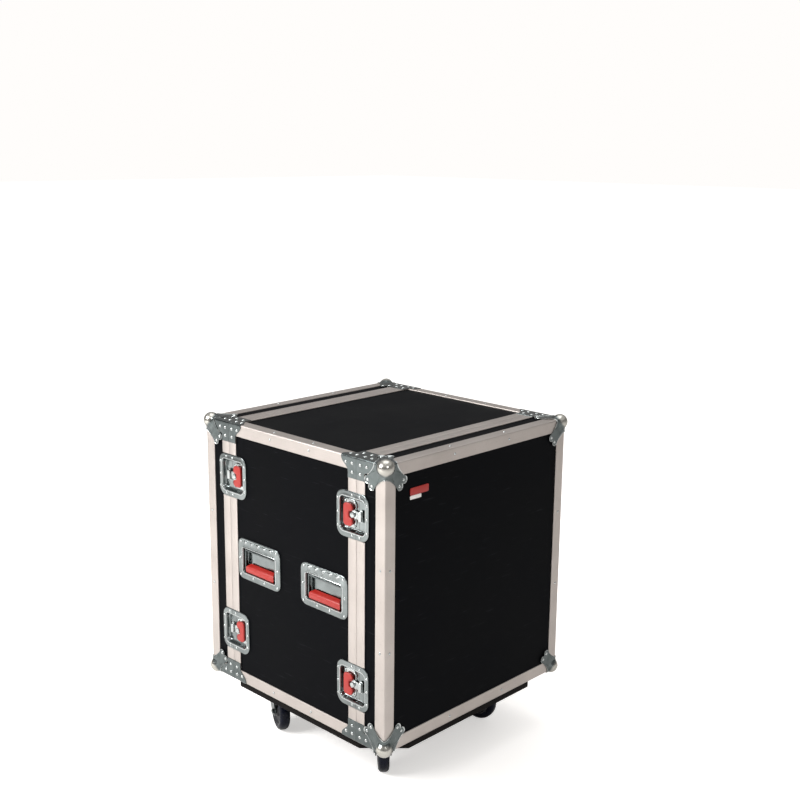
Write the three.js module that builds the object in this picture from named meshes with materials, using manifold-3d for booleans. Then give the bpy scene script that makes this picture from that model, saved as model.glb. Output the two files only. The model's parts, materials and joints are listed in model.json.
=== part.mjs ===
// A twelve-unit shock-mounted equipment rack case on a caster board.
// A plywood body, open at front and rear, has a lift-off lid on each end. All edges are bound in
// aluminium angle, the mouths close on a tongue and groove, and a steel rack frame hangs inside
// on rubber mounts. Millimetres, +Z up. The origin is on the floor, under the middle of the case.
// X runs across the lids and Y from the front lid (-Y) to the rear lid (+Y).

import * as THREE from 'three';
import { mergeVertices } from 'three/addons/utils/BufferGeometryUtils.js';
import Module from 'manifold-3d';

const wasm = await Module();
wasm.setup();

// ---- Driving dimensions -------------------------------------------------------------------

const WIDTH = 624; // X, over the edge angles
const DEPTH = 624; // Y, over both lids
const HEIGHT = 665; // Z, over the edge angles
const BASE = 150; // floor to the underside of the edge angles
const LID_DEPTH = 89; // outer face of a lid to the mouth seam
const PLY = 9; // plywood panel
const GAP = 0.3; // clearance between pieces that touch

const ANGLE_LEG = 30; // edge angle, outside
const ANGLE_WALL = 2;
const STRIP = 26; // face width of the mouth profile on each side of the seam
const WEB_BODY = 9; // mouth profile's web, which closes the panel's edge
const WEB_LID = 5;
const LIP_BODY = 18; // how far the inner lip runs in from the seam
const LIP_WALL = 1.8;
const GROOVE = { near: 3.4, far: 8, depth: 5 }; // insets from the outer face, and depth
const TONGUE = { near: 3.9, far: 7.5, height: 4.2 };
const BRACE = { thick: 1.2, tall: 49, bodyReach: 46, lidReach: 44, bodyFoot: 26, lidFoot: 22 };

const BALL = { radius: 20, inset: 9, plate: 1.4, lobe: 9, lobeNear: 40, lobeFar: 55 };

const LATCH = {
  level: 200, // above and below mid height
  halfTall: 53.5,
  corner: 22,
  bodyReach: 63, // flange, from the seam
  lidReach: 38.5,
  pocketHalfTall: 42,
  pocketCorner: 14,
  bodyPocket: 53,
  lidPocket: 26.5,
  floor: -9.5, // pocket floor, below the outer face
  sheet: 1.2,
  flangeTop: -GAP,
  flangeBack: -2,
  spindle: 15, // spindle axis, from the seam
};
const WING = { tall: 54, near: 2, far: 28, corner: 12, notch: 11, top: -0.4, back: -5.2, hub: 5 };
const HOOK = { back: -7.4, top: -5.6, tail: 34, tip: 14, half: 9, tipHalf: 15, slot: 5.5, travel: 10 };

const HANDLE = {
  spread: 116, // each side of the middle of the case
  width: 157,
  tall: 104,
  corner: 18,
  pocketHalf: 62,
  pocketLow: -34,
  pocketHigh: 26,
  floor: -14.8,
  sheet: 1.2,
  pinHeight: 21,
  pinDepth: -6,
};

const BOARD = { inset: 14, chamfer: 80, thick: 23, drop: 2 };
const CASTER = { spread: 198, trail: 40, radius: 50, width: 27, bore: 7, axle: 6, plate: 96 };
const CASTER_YAW = { left_front: 47.6, left_rear: 246, right_front: 98, right_rear: 20 };

const RACK = { units: 12, unit: 44.45, holePitch: 465.1, opening: 450, hole: 9.5, steel: 2 };
const FRAME = { halfWidth: 245, halfDepth: 205, margin: 4.6, member: 30 };
const MOUNT = { radius: 15, fromFront: 17, fromEnd: 45 };

// ---- Derived places -----------------------------------------------------------------------

const HALF_W = WIDTH / 2;
const HALF_D = DEPTH / 2;
const TOP = BASE + HEIGHT;
const MIDDLE = BASE + HEIGHT / 2;
const SEAM = HALF_D - LID_DEPTH;
const PANEL_OUT = ANGLE_WALL + GAP; // inset of the panels' outer faces
const PANEL_IN = PANEL_OUT + PLY;
const LIP_OUT = PANEL_IN + GAP;
const LIP_IN = LIP_OUT + LIP_WALL;
const NOTCH_FLOOR = -(LIP_OUT - 0.6); // latch notches stop just above the inner lip
const ENDS = [['front', -1], ['rear', 1]];
const SIDES = [['left', -1], ['right', 1]];
const LEVELS = [['upper', 1], ['lower', -1]];

const X = new THREE.Vector3(1, 0, 0);
const Y = new THREE.Vector3(0, 1, 0);
const Z = new THREE.Vector3(0, 0, 1);
const times = (vector, factor) => vector.clone().multiplyScalar(factor);

// ---- Finishes -----------------------------------------------------------------------------

const finish = (color, roughness, metalness) =>
  new THREE.MeshStandardMaterial({ color, roughness, metalness });
const ALUMINIUM = finish(0xc9c0bb, 0.38, 1);
const ZINC = finish(0xc4c6c8, 0.25, 1);
const LAMINATE = finish(0x141518, 0.55, 0);
const RED = finish(0xe8402f, 0.45, 0);
const RUBBER = finish(0x10131c, 0.4, 0);
const BLACK_STEEL = finish(0x1b1c1e, 0.5, 0.6);
const PLYWOOD = finish(0x17120f, 0.7, 0);

// ---- Making and joining solids ------------------------------------------------------------

// A closed geometry as a solid that can be joined and cut.
function solid(geometry) {
  const bare = geometry.clone();
  bare.deleteAttribute('normal');
  bare.deleteAttribute('uv');
  const merged = mergeVertices(bare, 1e-4);
  const vertProperties = new Float32Array(merged.attributes.position.array);
  const triVerts = new Uint32Array(merged.index.array);
  return new wasm.Manifold(new wasm.Mesh({ numProp: 3, vertProperties, triVerts }));
}

// A solid's surface as a geometry again.
function surface(body) {
  const { vertProperties, triVerts } = body.getMesh();
  const geometry = new THREE.BufferGeometry();
  geometry.setAttribute('position', new THREE.BufferAttribute(vertProperties, 3));
  geometry.setIndex(new THREE.BufferAttribute(triVerts, 1));
  geometry.computeVertexNormals();
  return geometry;
}

const joined = (solids) => solids.reduce((sum, next) => sum.add(next));
const without = (body, cuts) => cuts.reduce((rest, cut) => rest.subtract(cut), body);

// A box between two corners, whichever way round each pair is given.
function slab(x0, x1, y0, y1, z0, z1) {
  const box = new THREE.BoxGeometry(Math.abs(x1 - x0), Math.abs(y1 - y0), Math.abs(z1 - z0));
  return solid(box.translate((x0 + x1) / 2, (y0 + y1) / 2, (z0 + z1) / 2));
}

// A flat outline given thickness from z0 to z1.
function sheet(shape, z0, z1, curveSegments = 3) {
  const options = { depth: z1 - z0, bevelEnabled: false, curveSegments };
  return new THREE.ExtrudeGeometry(shape, options).translate(0, 0, z0);
}

// The geometry laid on the axes x, y and z from a point. A mirrored set of axes turns its faces
// inside out, so there each triangle's corners change places.
function laid(geometry, x, y, z, at) {
  const flat = geometry.index ? geometry.toNonIndexed() : geometry.clone();
  flat.applyMatrix4(new THREE.Matrix4().makeBasis(x, y, z).setPosition(at));
  if (new THREE.Vector3().crossVectors(x, y).dot(z) > 0) return flat;
  const p = flat.attributes.position;
  const [a, b] = [new THREE.Vector3(), new THREE.Vector3()];
  for (let i = 0; i < p.count; i += 3) {
    a.fromBufferAttribute(p, i + 1);
    b.fromBufferAttribute(p, i + 2);
    p.setXYZ(i + 1, b.x, b.y, b.z);
    p.setXYZ(i + 2, a.x, a.y, a.z);
  }
  return flat;
}

// A cylinder along the local Z axis.
function rod(radius, z0, z1, segments = 12) {
  const cylinder = new THREE.CylinderGeometry(radius, radius, z1 - z0, segments);
  return cylinder.rotateX(Math.PI / 2).translate(0, 0, (z0 + z1) / 2);
}

// A rectangular tube along Y, between two insets from the outer faces of the case.
function ring(outer, inner, y0, y1) {
  const tube = (inset, from, to) =>
    slab(inset - HALF_W, HALF_W - inset, from, to, BASE + inset, TOP - inset);
  const past = Math.sign(y1 - y0);
  return tube(outer, y0, y1).subtract(tube(inner, y0 - past, y1 + past));
}

// A rectangle from x0 to x1 whose two far corners, at x1, are rounded.
function tab(x0, x1, half, r) {
  const way = Math.sign(x1 - x0);
  const shape = new THREE.Shape();
  shape.moveTo(x0, -half);
  shape.lineTo(x1 - way * r, -half);
  shape.quadraticCurveTo(x1 - way * r * 0.2, -half + r * 0.2, x1, -half + r);
  shape.lineTo(x1, half - r);
  shape.quadraticCurveTo(x1 - way * r * 0.2, half - r * 0.2, x1 - way * r, half);
  shape.lineTo(x0, half);
  shape.closePath();
  return shape;
}

// A rectangle with four round corners.
function rounded(x0, x1, y0, y1, r) {
  const shape = new THREE.Shape();
  shape.moveTo(x0 + r, y0);
  shape.absarc(x1 - r, y0 + r, r, -Math.PI / 2, 0);
  shape.absarc(x1 - r, y1 - r, r, 0, Math.PI / 2);
  shape.absarc(x0 + r, y1 - r, r, Math.PI / 2, Math.PI);
  shape.absarc(x0 + r, y0 + r, r, Math.PI, Math.PI * 1.5);
  return shape;
}

// ---- Places on the sides ------------------------------------------------------------------

// Axes at a latch: x towards its lid, z out of the side panel, from the seam at the outer face.
function latchPlace(side, end, level) {
  const x = times(Y, end);
  const z = times(X, side);
  const at = new THREE.Vector3(side * HALF_W, end * SEAM, MIDDLE + level * LATCH.level);
  return [x, new THREE.Vector3().crossVectors(z, x), z, at];
}

// Axes at a handle: y up, z out of the side panel, from the dish's middle at the outer face.
function handlePlace(side, end) {
  const at = new THREE.Vector3(side * HALF_W, end * HANDLE.spread, MIDDLE);
  return [times(Y, side), Z, times(X, side), at];
}

// A group that carries meshes drawn on a place's own axes.
function groupAt([x, y, z, at]) {
  const group = new THREE.Group();
  group.quaternion.setFromRotationMatrix(new THREE.Matrix4().makeBasis(x, y, z));
  group.position.copy(at);
  return group;
}

function latchPlaces() {
  return SIDES.flatMap(([sideName, side]) => ENDS.flatMap(([endName, end]) =>
    LEVELS.map(([levelName, level]) => ({
      name: `${sideName}_${endName}_${levelName}`,
      end,
      axes: latchPlace(side, end, level),
    }))));
}

function handlePlaces() {
  return SIDES.flatMap(([sideName, side]) => ENDS.map(([endName, end]) => ({
    name: `${sideName}_${endName}`,
    axes: handlePlace(side, end),
  })));
}

const boxAt = (axes, x0, x1, y0, y1, z0, z1) =>
  solid(laid(surface(slab(x0, x1, y0, y1, z0, z1)), ...axes));

// ---- Body ---------------------------------------------------------------------------------

// Four plywood panels as one open-ended box, with a window behind every dish.
function bodyCarcass() {
  const end = SEAM - GAP - WEB_BODY - GAP;
  const reach = LATCH.bodyPocket + LATCH.sheet + 0.6;
  const high = LATCH.pocketHalfTall + LATCH.sheet + 0.6;
  const wide = HANDLE.pocketHalf + HANDLE.sheet + 0.6;
  const low = HANDLE.pocketLow - HANDLE.sheet - 0.6;
  const up = HANDLE.pocketHigh + HANDLE.sheet + 0.6;
  const cuts = [
    ...latchPlaces().map(({ axes }) => boxAt(axes, -reach, 1, -high, high, -20, 5)),
    ...handlePlaces().map(({ axes }) => boxAt(axes, -wide, wide, low, up, -20, 5)),
  ];
  return without(ring(PANEL_OUT, PANEL_IN, -end, end), cuts);
}

// Edge angle along Y on one of the four long edges.
function longAngle(side, level, y0, y1) {
  const x = side * HALF_W;
  const z = MIDDLE + level * HEIGHT / 2;
  const leg = slab(x, x - side * ANGLE_LEG, y0, y1, z, z - level * ANGLE_WALL);
  return leg.add(slab(x, x - side * ANGLE_WALL, y0, y1, z, z - level * ANGLE_LEG));
}

// Half of a corner brace, folded over the long edge beside the seam.
function braceHalf(side, end, level, reach, foot, way) {
  const edgeRow = 18;
  const taper = 36;
  const shape = new THREE.Shape();
  shape.moveTo(GAP, -BRACE.thick);
  shape.lineTo(reach, -BRACE.thick);
  shape.lineTo(reach, edgeRow);
  shape.quadraticCurveTo(foot, edgeRow, foot, taper);
  shape.lineTo(foot, BRACE.tall);
  shape.lineTo(GAP, BRACE.tall);
  shape.closePath();
  const plate = sheet(shape, -0.2, BRACE.thick);
  const at = new THREE.Vector3(side * HALF_W, end * SEAM, MIDDLE + level * HEIGHT / 2);
  const along = times(Y, way * end);
  const onSide = laid(plate, along, times(Z, -level), times(X, side), at);
  const onTop = laid(plate, along, times(X, -side), times(Z, level), at);
  return solid(onSide).add(solid(onTop));
}

// Four long edge angles, a grooved mouth profile at each end and the body halves of the braces.
function bodyTrimFrame() {
  const parts = [];
  const face = SEAM - GAP;
  for (const [, side] of SIDES) {
    for (const [, level] of LEVELS) {
      parts.push(longAngle(side, level, -face, face));
      for (const [, end] of ENDS) {
        parts.push(braceHalf(side, end, level, BRACE.bodyReach, BRACE.bodyFoot, -1));
      }
    }
  }
  for (const [, end] of ENDS) {
    parts.push(ring(0, ANGLE_WALL, end * (SEAM - STRIP), end * face));
    parts.push(ring(ANGLE_WALL, LIP_IN, end * (face - WEB_BODY), end * face));
    parts.push(ring(LIP_OUT, LIP_IN, end * (SEAM - LIP_BODY), end * face));
  }
  const grooves = ENDS.map(([, end]) =>
    ring(GROOVE.near, GROOVE.far, end * (face - GROOVE.depth), end * SEAM));
  const tall = LATCH.halfTall + GAP;
  const notches = latchPlaces().map(({ axes }) =>
    boxAt(axes, -LATCH.bodyReach - GAP, 1, -tall, tall, NOTCH_FLOOR, 5));
  return without(joined(parts), [...grooves, ...notches]);
}

// ---- Lids ---------------------------------------------------------------------------------

// A five-sided plywood tray, with windows behind the keepers.
function lidShell(end) {
  const mouth = SEAM + GAP + WEB_LID + GAP;
  const face = HALF_D - PANEL_OUT;
  const tray = slab(PANEL_OUT - HALF_W, HALF_W - PANEL_OUT, end * mouth, end * face,
    BASE + PANEL_OUT, TOP - PANEL_OUT);
  const hollow = slab(PANEL_IN - HALF_W, HALF_W - PANEL_IN, end * (mouth - 1),
    end * (face - PLY), BASE + PANEL_IN, TOP - PANEL_IN);
  const reach = LATCH.lidPocket + LATCH.sheet + 0.6;
  const high = LATCH.pocketHalfTall + LATCH.sheet + 0.6;
  const windows = latchPlaces().filter((place) => place.end === end)
    .map(({ axes }) => boxAt(axes, 0, reach, -high, high, -20, 5));
  return without(tray, [hollow, ...windows]);
}

// The pressed dish of a latch on one side of the seam: a flange with a pocket open at the seam.
function dishHalf(reach, pocket) {
  const { halfTall, corner, sheet: wall, floor, flangeTop, flangeBack } = LATCH;
  const inner = LATCH.pocketHalfTall;
  const flange = sheet(tab(0.4, reach, halfTall, corner), flangeBack, flangeTop);
  const outer = sheet(tab(0.4, pocket + wall, inner + wall, LATCH.pocketCorner),
    floor - wall, flangeTop);
  const hollow = sheet(tab(-1, pocket, inner, LATCH.pocketCorner - wall), floor, 1);
  return solid(flange).add(solid(outer)).subtract(solid(hollow));
}

// A keeper: the lid's half of a latch dish, with the rib that the hook reaches over.
function keeper() {
  const rib = slab(17, 19.5, -12, 12, LATCH.floor - 0.1, HOOK.back - 0.4);
  return surface(dishHalf(LATCH.lidReach, LATCH.lidPocket).add(rib));
}

// The lid's edge angles, tongued mouth profile, keepers and lid halves of the braces.
function lidTrim(end) {
  const face = SEAM + GAP;
  const out = end * HALF_D;
  const parts = [
    ring(0, ANGLE_LEG, out, end * (HALF_D - ANGLE_WALL)),
    ring(0, ANGLE_WALL, out, end * (HALF_D - ANGLE_LEG)),
    ring(0, ANGLE_WALL, end * face, end * (SEAM + STRIP)),
    ring(ANGLE_WALL, LIP_IN, end * face, end * (face + WEB_LID)),
    ring(LIP_OUT, LIP_IN, end * face, end * (SEAM + LIP_BODY)),
    ring(TONGUE.near, TONGUE.far, end * (SEAM - TONGUE.height), end * (face + 1)),
  ];
  for (const [, side] of SIDES) {
    for (const [, level] of LEVELS) {
      parts.push(longAngle(side, level, end * face, out));
      parts.push(braceHalf(side, end, level, BRACE.lidReach, BRACE.lidFoot, 1));
    }
  }
  const places = latchPlaces().filter((place) => place.end === end);
  const tall = LATCH.halfTall - GAP;
  const notches = places.map(({ axes }) =>
    boxAt(axes, -TONGUE.height - 1, LATCH.lidReach - GAP, -tall, tall, NOTCH_FLOOR, 5));
  const keepers = places.map(({ axes }) => solid(laid(keeper(), ...axes)));
  return joined([without(joined(parts), notches), ...keepers]);
}

// The flange of a ball corner on one face: an arm along the diagonal that ends in two lobes.
function cornerFlange() {
  const { lobe, lobeNear, lobeFar, plate } = BALL;
  const shape = new THREE.Shape();
  shape.moveTo(4, 18);
  shape.quadraticCurveTo(26, 32, lobeNear - lobe, lobeFar);
  shape.absarc(lobeNear, lobeFar, lobe, Math.PI, -0.1 * Math.PI, true);
  shape.absarc(lobeFar, lobeNear, lobe, 0.6 * Math.PI, -0.5 * Math.PI, true);
  shape.quadraticCurveTo(32, 26, 18, 4);
  shape.closePath();
  return sheet(shape, GAP, GAP + plate);
}

// A pressed ball corner at the origin, for a case that fills the octant of negative x, y and z.
function ballCorner() {
  const { radius, inset } = BALL;
  const ball = new THREE.SphereGeometry(radius, 12, 6).translate(-inset, -inset, -inset);
  const caseCorner = slab(-2 * radius, GAP, -2 * radius, GAP, -2 * radius, GAP);
  const flange = cornerFlange();
  const [x, y, z] = [times(X, -1), times(Y, -1), times(Z, -1)];
  const origin = new THREE.Vector3();
  return surface(joined([
    solid(ball).subtract(caseCorner),
    solid(laid(flange, x, y, Z, origin)),
    solid(laid(flange, y, z, X, origin)),
    solid(laid(flange, z, x, Y, origin)),
  ]));
}

// ---- Latches and handles ------------------------------------------------------------------

// The red wing of a butterfly latch, notched round its spindle, with the hub behind it.
function latchWing() {
  const { tall, near, far, corner, notch, top, back, hub } = WING;
  const axis = -LATCH.spindle;
  const plate = solid(sheet(rounded(axis - far, axis + near, -tall / 2, tall / 2, corner),
    back, top));
  const bite = solid(rod(notch, back + 2, 1, 10).translate(axis + 4, 0, 0));
  const boss = solid(rod(10, back, back + 2, 10).translate(axis, 0, 0));
  const pin = solid(rod(hub, LATCH.floor + GAP, back + 1, 6).translate(axis, 0, 0));
  return surface(joined([plate.subtract(bite), boss, pin]));
}

// The flat hook that the spindle drives, slotted round the hub, with a T-shaped tip.
function latchHook() {
  const { back, top, tail, tip, half, tipHalf, slot, travel } = HOOK;
  const axis = -LATCH.spindle;
  const tongue = slab(-tail, tip, -half, half, back, top);
  const head = slab(tip - 7, tip, -tipHalf, tipHalf, back, top);
  const opening = solid(sheet(
    rounded(axis - travel - slot, axis + slot, -slot, slot, slot - 0.01), back - 1, top + 1, 2));
  return surface(tongue.add(head).subtract(opening));
}

// The pressed dish of a handle: a flange with a deep pocket, wider above for the spring.
function handleDish() {
  const { width, tall, corner, pocketHalf, pocketLow, pocketHigh, floor, sheet: wall } = HANDLE;
  const flange = sheet(rounded(-width / 2, width / 2, -tall / 2, tall / 2, corner),
    LATCH.flangeBack, LATCH.flangeTop);
  const outer = slab(-pocketHalf - wall, pocketHalf + wall, pocketLow - wall,
    pocketHigh + wall, floor - wall, LATCH.flangeTop);
  const hollow = slab(-pocketHalf, pocketHalf, pocketLow, pocketHigh, floor, 1);
  return surface(solid(flange).add(outer).subtract(hollow));
}

// The swinging bail: a hinge pin, two flat arms and the moulded grip across their lower ends.
function handleGrip() {
  const { pocketHalf, pinHeight, pinDepth } = HANDLE;
  const pin = solid(rod(3, -pocketHalf + 0.5, pocketHalf - 0.5, 8).rotateY(Math.PI / 2)
    .translate(0, pinHeight, pinDepth));
  const arm = (way) => slab(way * 55, way * 59.5, -31, pinHeight + 3,
    pinDepth - 2.5, pinDepth + 2.5);
  const grip = slab(-55.5, 55.5, -31, -12, -12.5, -1.2);
  return surface(joined([pin, arm(-1), arm(1), grip]));
}

// ---- Casters ------------------------------------------------------------------------------

// The plywood board under the case, with the four caster top plates bolted to it.
function casterBoard() {
  const half = HALF_W - BOARD.inset;
  const cut = half - BOARD.chamfer;
  const shape = new THREE.Shape();
  shape.moveTo(-cut, -half);
  for (const [x, y] of [[cut, -half], [half, -cut], [half, cut], [cut, half], [-cut, half],
    [-half, cut], [-half, -cut]]) shape.lineTo(x, y);
  shape.closePath();
  const top = BASE - BOARD.drop;
  const under = top - BOARD.thick;
  const parts = [solid(sheet(shape, under, top))];
  const halfPlate = CASTER.plate / 2;
  for (const [, side] of SIDES) {
    for (const [, end] of ENDS) {
      const [x, y] = [side * CASTER.spread, end * CASTER.spread];
      parts.push(slab(x - halfPlate, x + halfPlate, y - halfPlate, y + halfPlate,
        under - 4, under + 0.2));
      parts.push(solid(rod(28, under - 9, under - 3.8).translate(x, y, 0)));
    }
  }
  return surface(joined(parts));
}

// A caster's fork about its swivel axis, with the axle across it behind the swivel.
function casterFork() {
  const crownTop = BASE - BOARD.drop - BOARD.thick - 9 - GAP;
  const crownBack = crownTop - 8;
  const legOut = CASTER.width / 2 + 6;
  const legIn = CASTER.width / 2 + 3;
  const leg = new THREE.Shape();
  leg.moveTo(-22, crownBack + 4);
  leg.lineTo(24, crownBack + 4);
  leg.lineTo(CASTER.trail + 12, CASTER.radius + 3);
  leg.absarc(CASTER.trail, CASTER.radius, 12, 0.1, -Math.PI * 0.85, true);
  leg.closePath();
  const blank = sheet(leg, 0, legOut - legIn, 4);
  const legAt = (y) => solid(laid(blank, X, Z, Y, new THREE.Vector3(0, y, 0)));
  const crown = slab(-22, 24, -legOut, legOut, crownBack, crownBack + 4);
  const race = solid(rod(26, crownBack + 0.2, crownTop));
  const axle = solid(rod(CASTER.axle, -legOut, legOut, 10).rotateX(Math.PI / 2)
    .translate(CASTER.trail, 0, CASTER.radius));
  return surface(joined([crown, race, legAt(legIn), legAt(-legOut), axle]));
}

// A caster wheel about the local Y axis: a bored disc with a round-shouldered tread.
function casterWheel() {
  const { radius, width, bore } = CASTER;
  const half = width / 2;
  const shoulder = 11;
  const steps = 3;
  const profile = [[bore, -half]];
  for (let i = 0; i <= steps; i += 1) {
    const turn = -Math.PI / 2 + (Math.PI / 2) * (i / steps);
    profile.push([radius - shoulder + shoulder * Math.cos(turn),
      shoulder - half + shoulder * Math.sin(turn)]);
  }
  const upper = profile.map(([r, y]) => [r, -y]).reverse();
  const points = [...profile, ...upper, profile[0]].map(([r, y]) => new THREE.Vector2(r, y));
  return surface(solid(new THREE.LatheGeometry(points, 20)));
}

// ---- Rack ---------------------------------------------------------------------------------

const RAIL_LOW = MIDDLE - (RACK.units * RACK.unit) / 2;

// A drilled rack rail: a front flange with square holes at the rack pitch and a leg behind it.
function rackRail(side, end) {
  const outer = FRAME.halfWidth - RACK.steel - GAP;
  const long = RACK.units * RACK.unit;
  const face = new THREE.Shape();
  face.moveTo(RACK.opening / 2, 0);
  face.lineTo(outer, 0);
  face.lineTo(outer, long);
  face.lineTo(RACK.opening / 2, long);
  face.closePath();
  const offsets = [6.35, 22.225, 38.1];
  const [x, h] = [RACK.holePitch / 2, RACK.hole / 2];
  for (let unit = 0; unit < RACK.units; unit += 1) {
    for (const offset of offsets) {
      const z = unit * RACK.unit + offset;
      const hole = new THREE.Path();
      hole.moveTo(x - h, z - h);
      hole.lineTo(x - h, z + h);
      hole.lineTo(x + h, z + h);
      hole.lineTo(x + h, z - h);
      hole.closePath();
      face.holes.push(hole);
    }
  }
  const at = new THREE.Vector3(0, end * FRAME.halfDepth, RAIL_LOW);
  const flange = solid(laid(sheet(face, -RACK.steel, 0), times(X, side), Z, times(Y, end), at));
  const back = FRAME.halfDepth - 24;
  const leg = slab(side * (outer - RACK.steel), side * outer, end * back,
    end * (FRAME.halfDepth - 1), RAIL_LOW, RAIL_LOW + long);
  return surface(flange.add(leg));
}

// The welded steel frame that holds the rails, with eight rubber mounts out to the panels.
function innerRackFrame() {
  const { halfWidth, halfDepth, margin, member } = FRAME;
  const low = RAIL_LOW - margin;
  const high = 2 * MIDDLE - low;
  const { steel } = RACK;
  const wide = halfWidth - member;
  const deep = halfDepth - member;
  const tube = slab(-halfWidth, halfWidth, -halfDepth, halfDepth, low, high);
  const shell = without(tube, [
    slab(-halfWidth + steel, halfWidth - steel, -halfDepth - 1, halfDepth + 1,
      low + steel, high - steel),
    slab(-halfWidth - 1, halfWidth + 1, -deep, deep, low + member, high - member),
    slab(-wide, wide, -deep, deep, low - 1, high + 1),
  ]);
  const reach = HALF_W - PANEL_IN - GAP;
  const mounts = [];
  for (const [, side] of SIDES) {
    for (const [, end] of ENDS) {
      for (const z of [low + MOUNT.fromEnd, high - MOUNT.fromEnd]) {
        const y = end * (halfDepth - MOUNT.fromFront);
        const axes = [Y, Z, X, new THREE.Vector3(0, y, z)];
        const [near, far] = [halfWidth - 1, reach].map((x) => side * x);
        const post = rod(MOUNT.radius, Math.min(near, far), Math.max(near, far), 10);
        mounts.push(solid(laid(post, ...axes)));
      }
    }
  }
  return surface(joined([shell, ...mounts]));
}

// ---- Assembly -----------------------------------------------------------------------------

const rackCase = new THREE.Group();

function put(parent, name, geometry, material) {
  const mesh = new THREE.Mesh(geometry, material);
  mesh.name = name;
  parent.add(mesh);
  return mesh;
}

put(rackCase, 'body_carcass', surface(bodyCarcass()), LAMINATE);
put(rackCase, 'body_trim_frame', surface(bodyTrimFrame()), ALUMINIUM);
for (const [endName, end] of ENDS) {
  put(rackCase, `${endName}_lid_shell`, surface(lidShell(end)), LAMINATE);
  put(rackCase, `${endName}_lid_trim`, surface(lidTrim(end)), ALUMINIUM);
}

const corner = ballCorner();
for (const [sideName, side] of SIDES) {
  for (const [endName, end] of ENDS) {
    for (const [levelName, level] of LEVELS) {
      const at = new THREE.Vector3(side * HALF_W, end * HALF_D, MIDDLE + level * HEIGHT / 2);
      const axes = [times(X, side), times(Y, end), times(Z, level)];
      const geometry = laid(corner, ...axes, new THREE.Vector3());
      const name = `ball_corner_${sideName}_${endName}_${levelName}`;
      put(rackCase, name, surface(solid(geometry)), ZINC).position.copy(at);
    }
  }
}

const bodyDish = surface(solid(laid(surface(dishHalf(LATCH.bodyReach, LATCH.bodyPocket)),
  times(X, -1), times(Y, -1), Z, new THREE.Vector3())));
const wing = latchWing();
const hook = latchHook();
for (const { name, axes } of latchPlaces()) {
  const latch = groupAt(axes);
  put(latch, `latch_dish_${name}`, bodyDish, ZINC);
  put(latch, `latch_wing_${name}`, wing, RED);
  put(latch, `latch_hook_${name}`, hook, ZINC);
  rackCase.add(latch);
}

const dish = handleDish();
const grip = handleGrip();
for (const { name, axes } of handlePlaces()) {
  const handle = groupAt(axes);
  put(handle, `handle_dish_${name}`, dish, ZINC);
  put(handle, `handle_grip_${name}`, grip, RED);
  rackCase.add(handle);
}

put(rackCase, 'caster_board', casterBoard(), PLYWOOD);
const fork = casterFork();
const wheel = casterWheel();
for (const [sideName, side] of SIDES) {
  for (const [endName, end] of ENDS) {
    const place = `${sideName}_${endName}`;
    const caster = new THREE.Group();
    caster.position.set(side * CASTER.spread, end * CASTER.spread, 0);
    caster.rotation.z = THREE.MathUtils.degToRad(CASTER_YAW[place]);
    put(caster, `caster_fork_${place}`, fork, ZINC);
    put(caster, `caster_wheel_${place}`, wheel, RUBBER)
      .position.set(CASTER.trail, 0, CASTER.radius);
    rackCase.add(caster);
    put(rackCase, `rack_rail_${place}`, rackRail(side, end), BLACK_STEEL);
  }
}
put(rackCase, 'inner_rack_frame', innerRackFrame(), BLACK_STEEL);

export default rackCase;
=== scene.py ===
"""A twelve-unit shock-mounted rack case on casters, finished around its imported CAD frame."""

import json
import math

import bmesh
import bpy
import numpy as np
from mathutils import Matrix, Vector


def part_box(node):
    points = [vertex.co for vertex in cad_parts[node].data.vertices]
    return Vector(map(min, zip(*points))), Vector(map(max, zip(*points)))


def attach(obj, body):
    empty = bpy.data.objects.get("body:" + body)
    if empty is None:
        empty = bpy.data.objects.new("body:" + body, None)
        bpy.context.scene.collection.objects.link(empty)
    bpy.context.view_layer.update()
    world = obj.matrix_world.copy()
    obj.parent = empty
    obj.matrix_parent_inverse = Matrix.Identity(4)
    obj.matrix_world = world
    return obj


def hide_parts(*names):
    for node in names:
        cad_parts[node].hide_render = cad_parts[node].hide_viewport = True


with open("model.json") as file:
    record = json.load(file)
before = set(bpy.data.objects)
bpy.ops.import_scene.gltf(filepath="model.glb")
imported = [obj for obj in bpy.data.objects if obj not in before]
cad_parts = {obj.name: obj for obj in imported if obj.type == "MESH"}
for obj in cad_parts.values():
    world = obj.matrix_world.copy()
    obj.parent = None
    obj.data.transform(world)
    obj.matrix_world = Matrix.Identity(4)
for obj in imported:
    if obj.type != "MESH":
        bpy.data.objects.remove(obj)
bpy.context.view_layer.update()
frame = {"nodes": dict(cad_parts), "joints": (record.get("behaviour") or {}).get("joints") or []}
MM = 0.001
scene = bpy.context.scene

# ---- Camera ---------------------------------------------------------------------------------
# It stands off the front left corner, higher than the case, and looks a little down at a point
# just above its top, so that the case sits low in the picture.

EYE = Vector((-1.9494, -1.9479, 1.466))
HEADING, DIP, TILT = math.radians(45.83), math.radians(12.44), math.radians(0.53)
ahead = Vector((math.sin(HEADING) * math.cos(DIP), math.cos(HEADING) * math.cos(DIP),
                -math.sin(DIP)))
level = ahead.cross(Vector((0, 0, 1))).normalized()
above = level.cross(ahead)
right = level * math.cos(TILT) + above * math.sin(TILT)
up = above * math.cos(TILT) - level * math.sin(TILT)
lens = bpy.data.cameras.new("camera")
lens.sensor_width = 36
lens.lens = 51.8
lens.shift_x = -0.0025
lens.clip_end = 100
camera = bpy.data.objects.new("camera", lens)
camera.matrix_world = Matrix.Translation(EYE) @ Matrix((right, up, -ahead)).transposed().to_4x4()
scene.collection.objects.link(camera)
scene.camera = camera

# ---- Studio ---------------------------------------------------------------------------------
# A pale seamless floor under a soft white sky, a large soft light on the left side of the case
# and a weaker one on its front, as for a catalogue.


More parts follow.
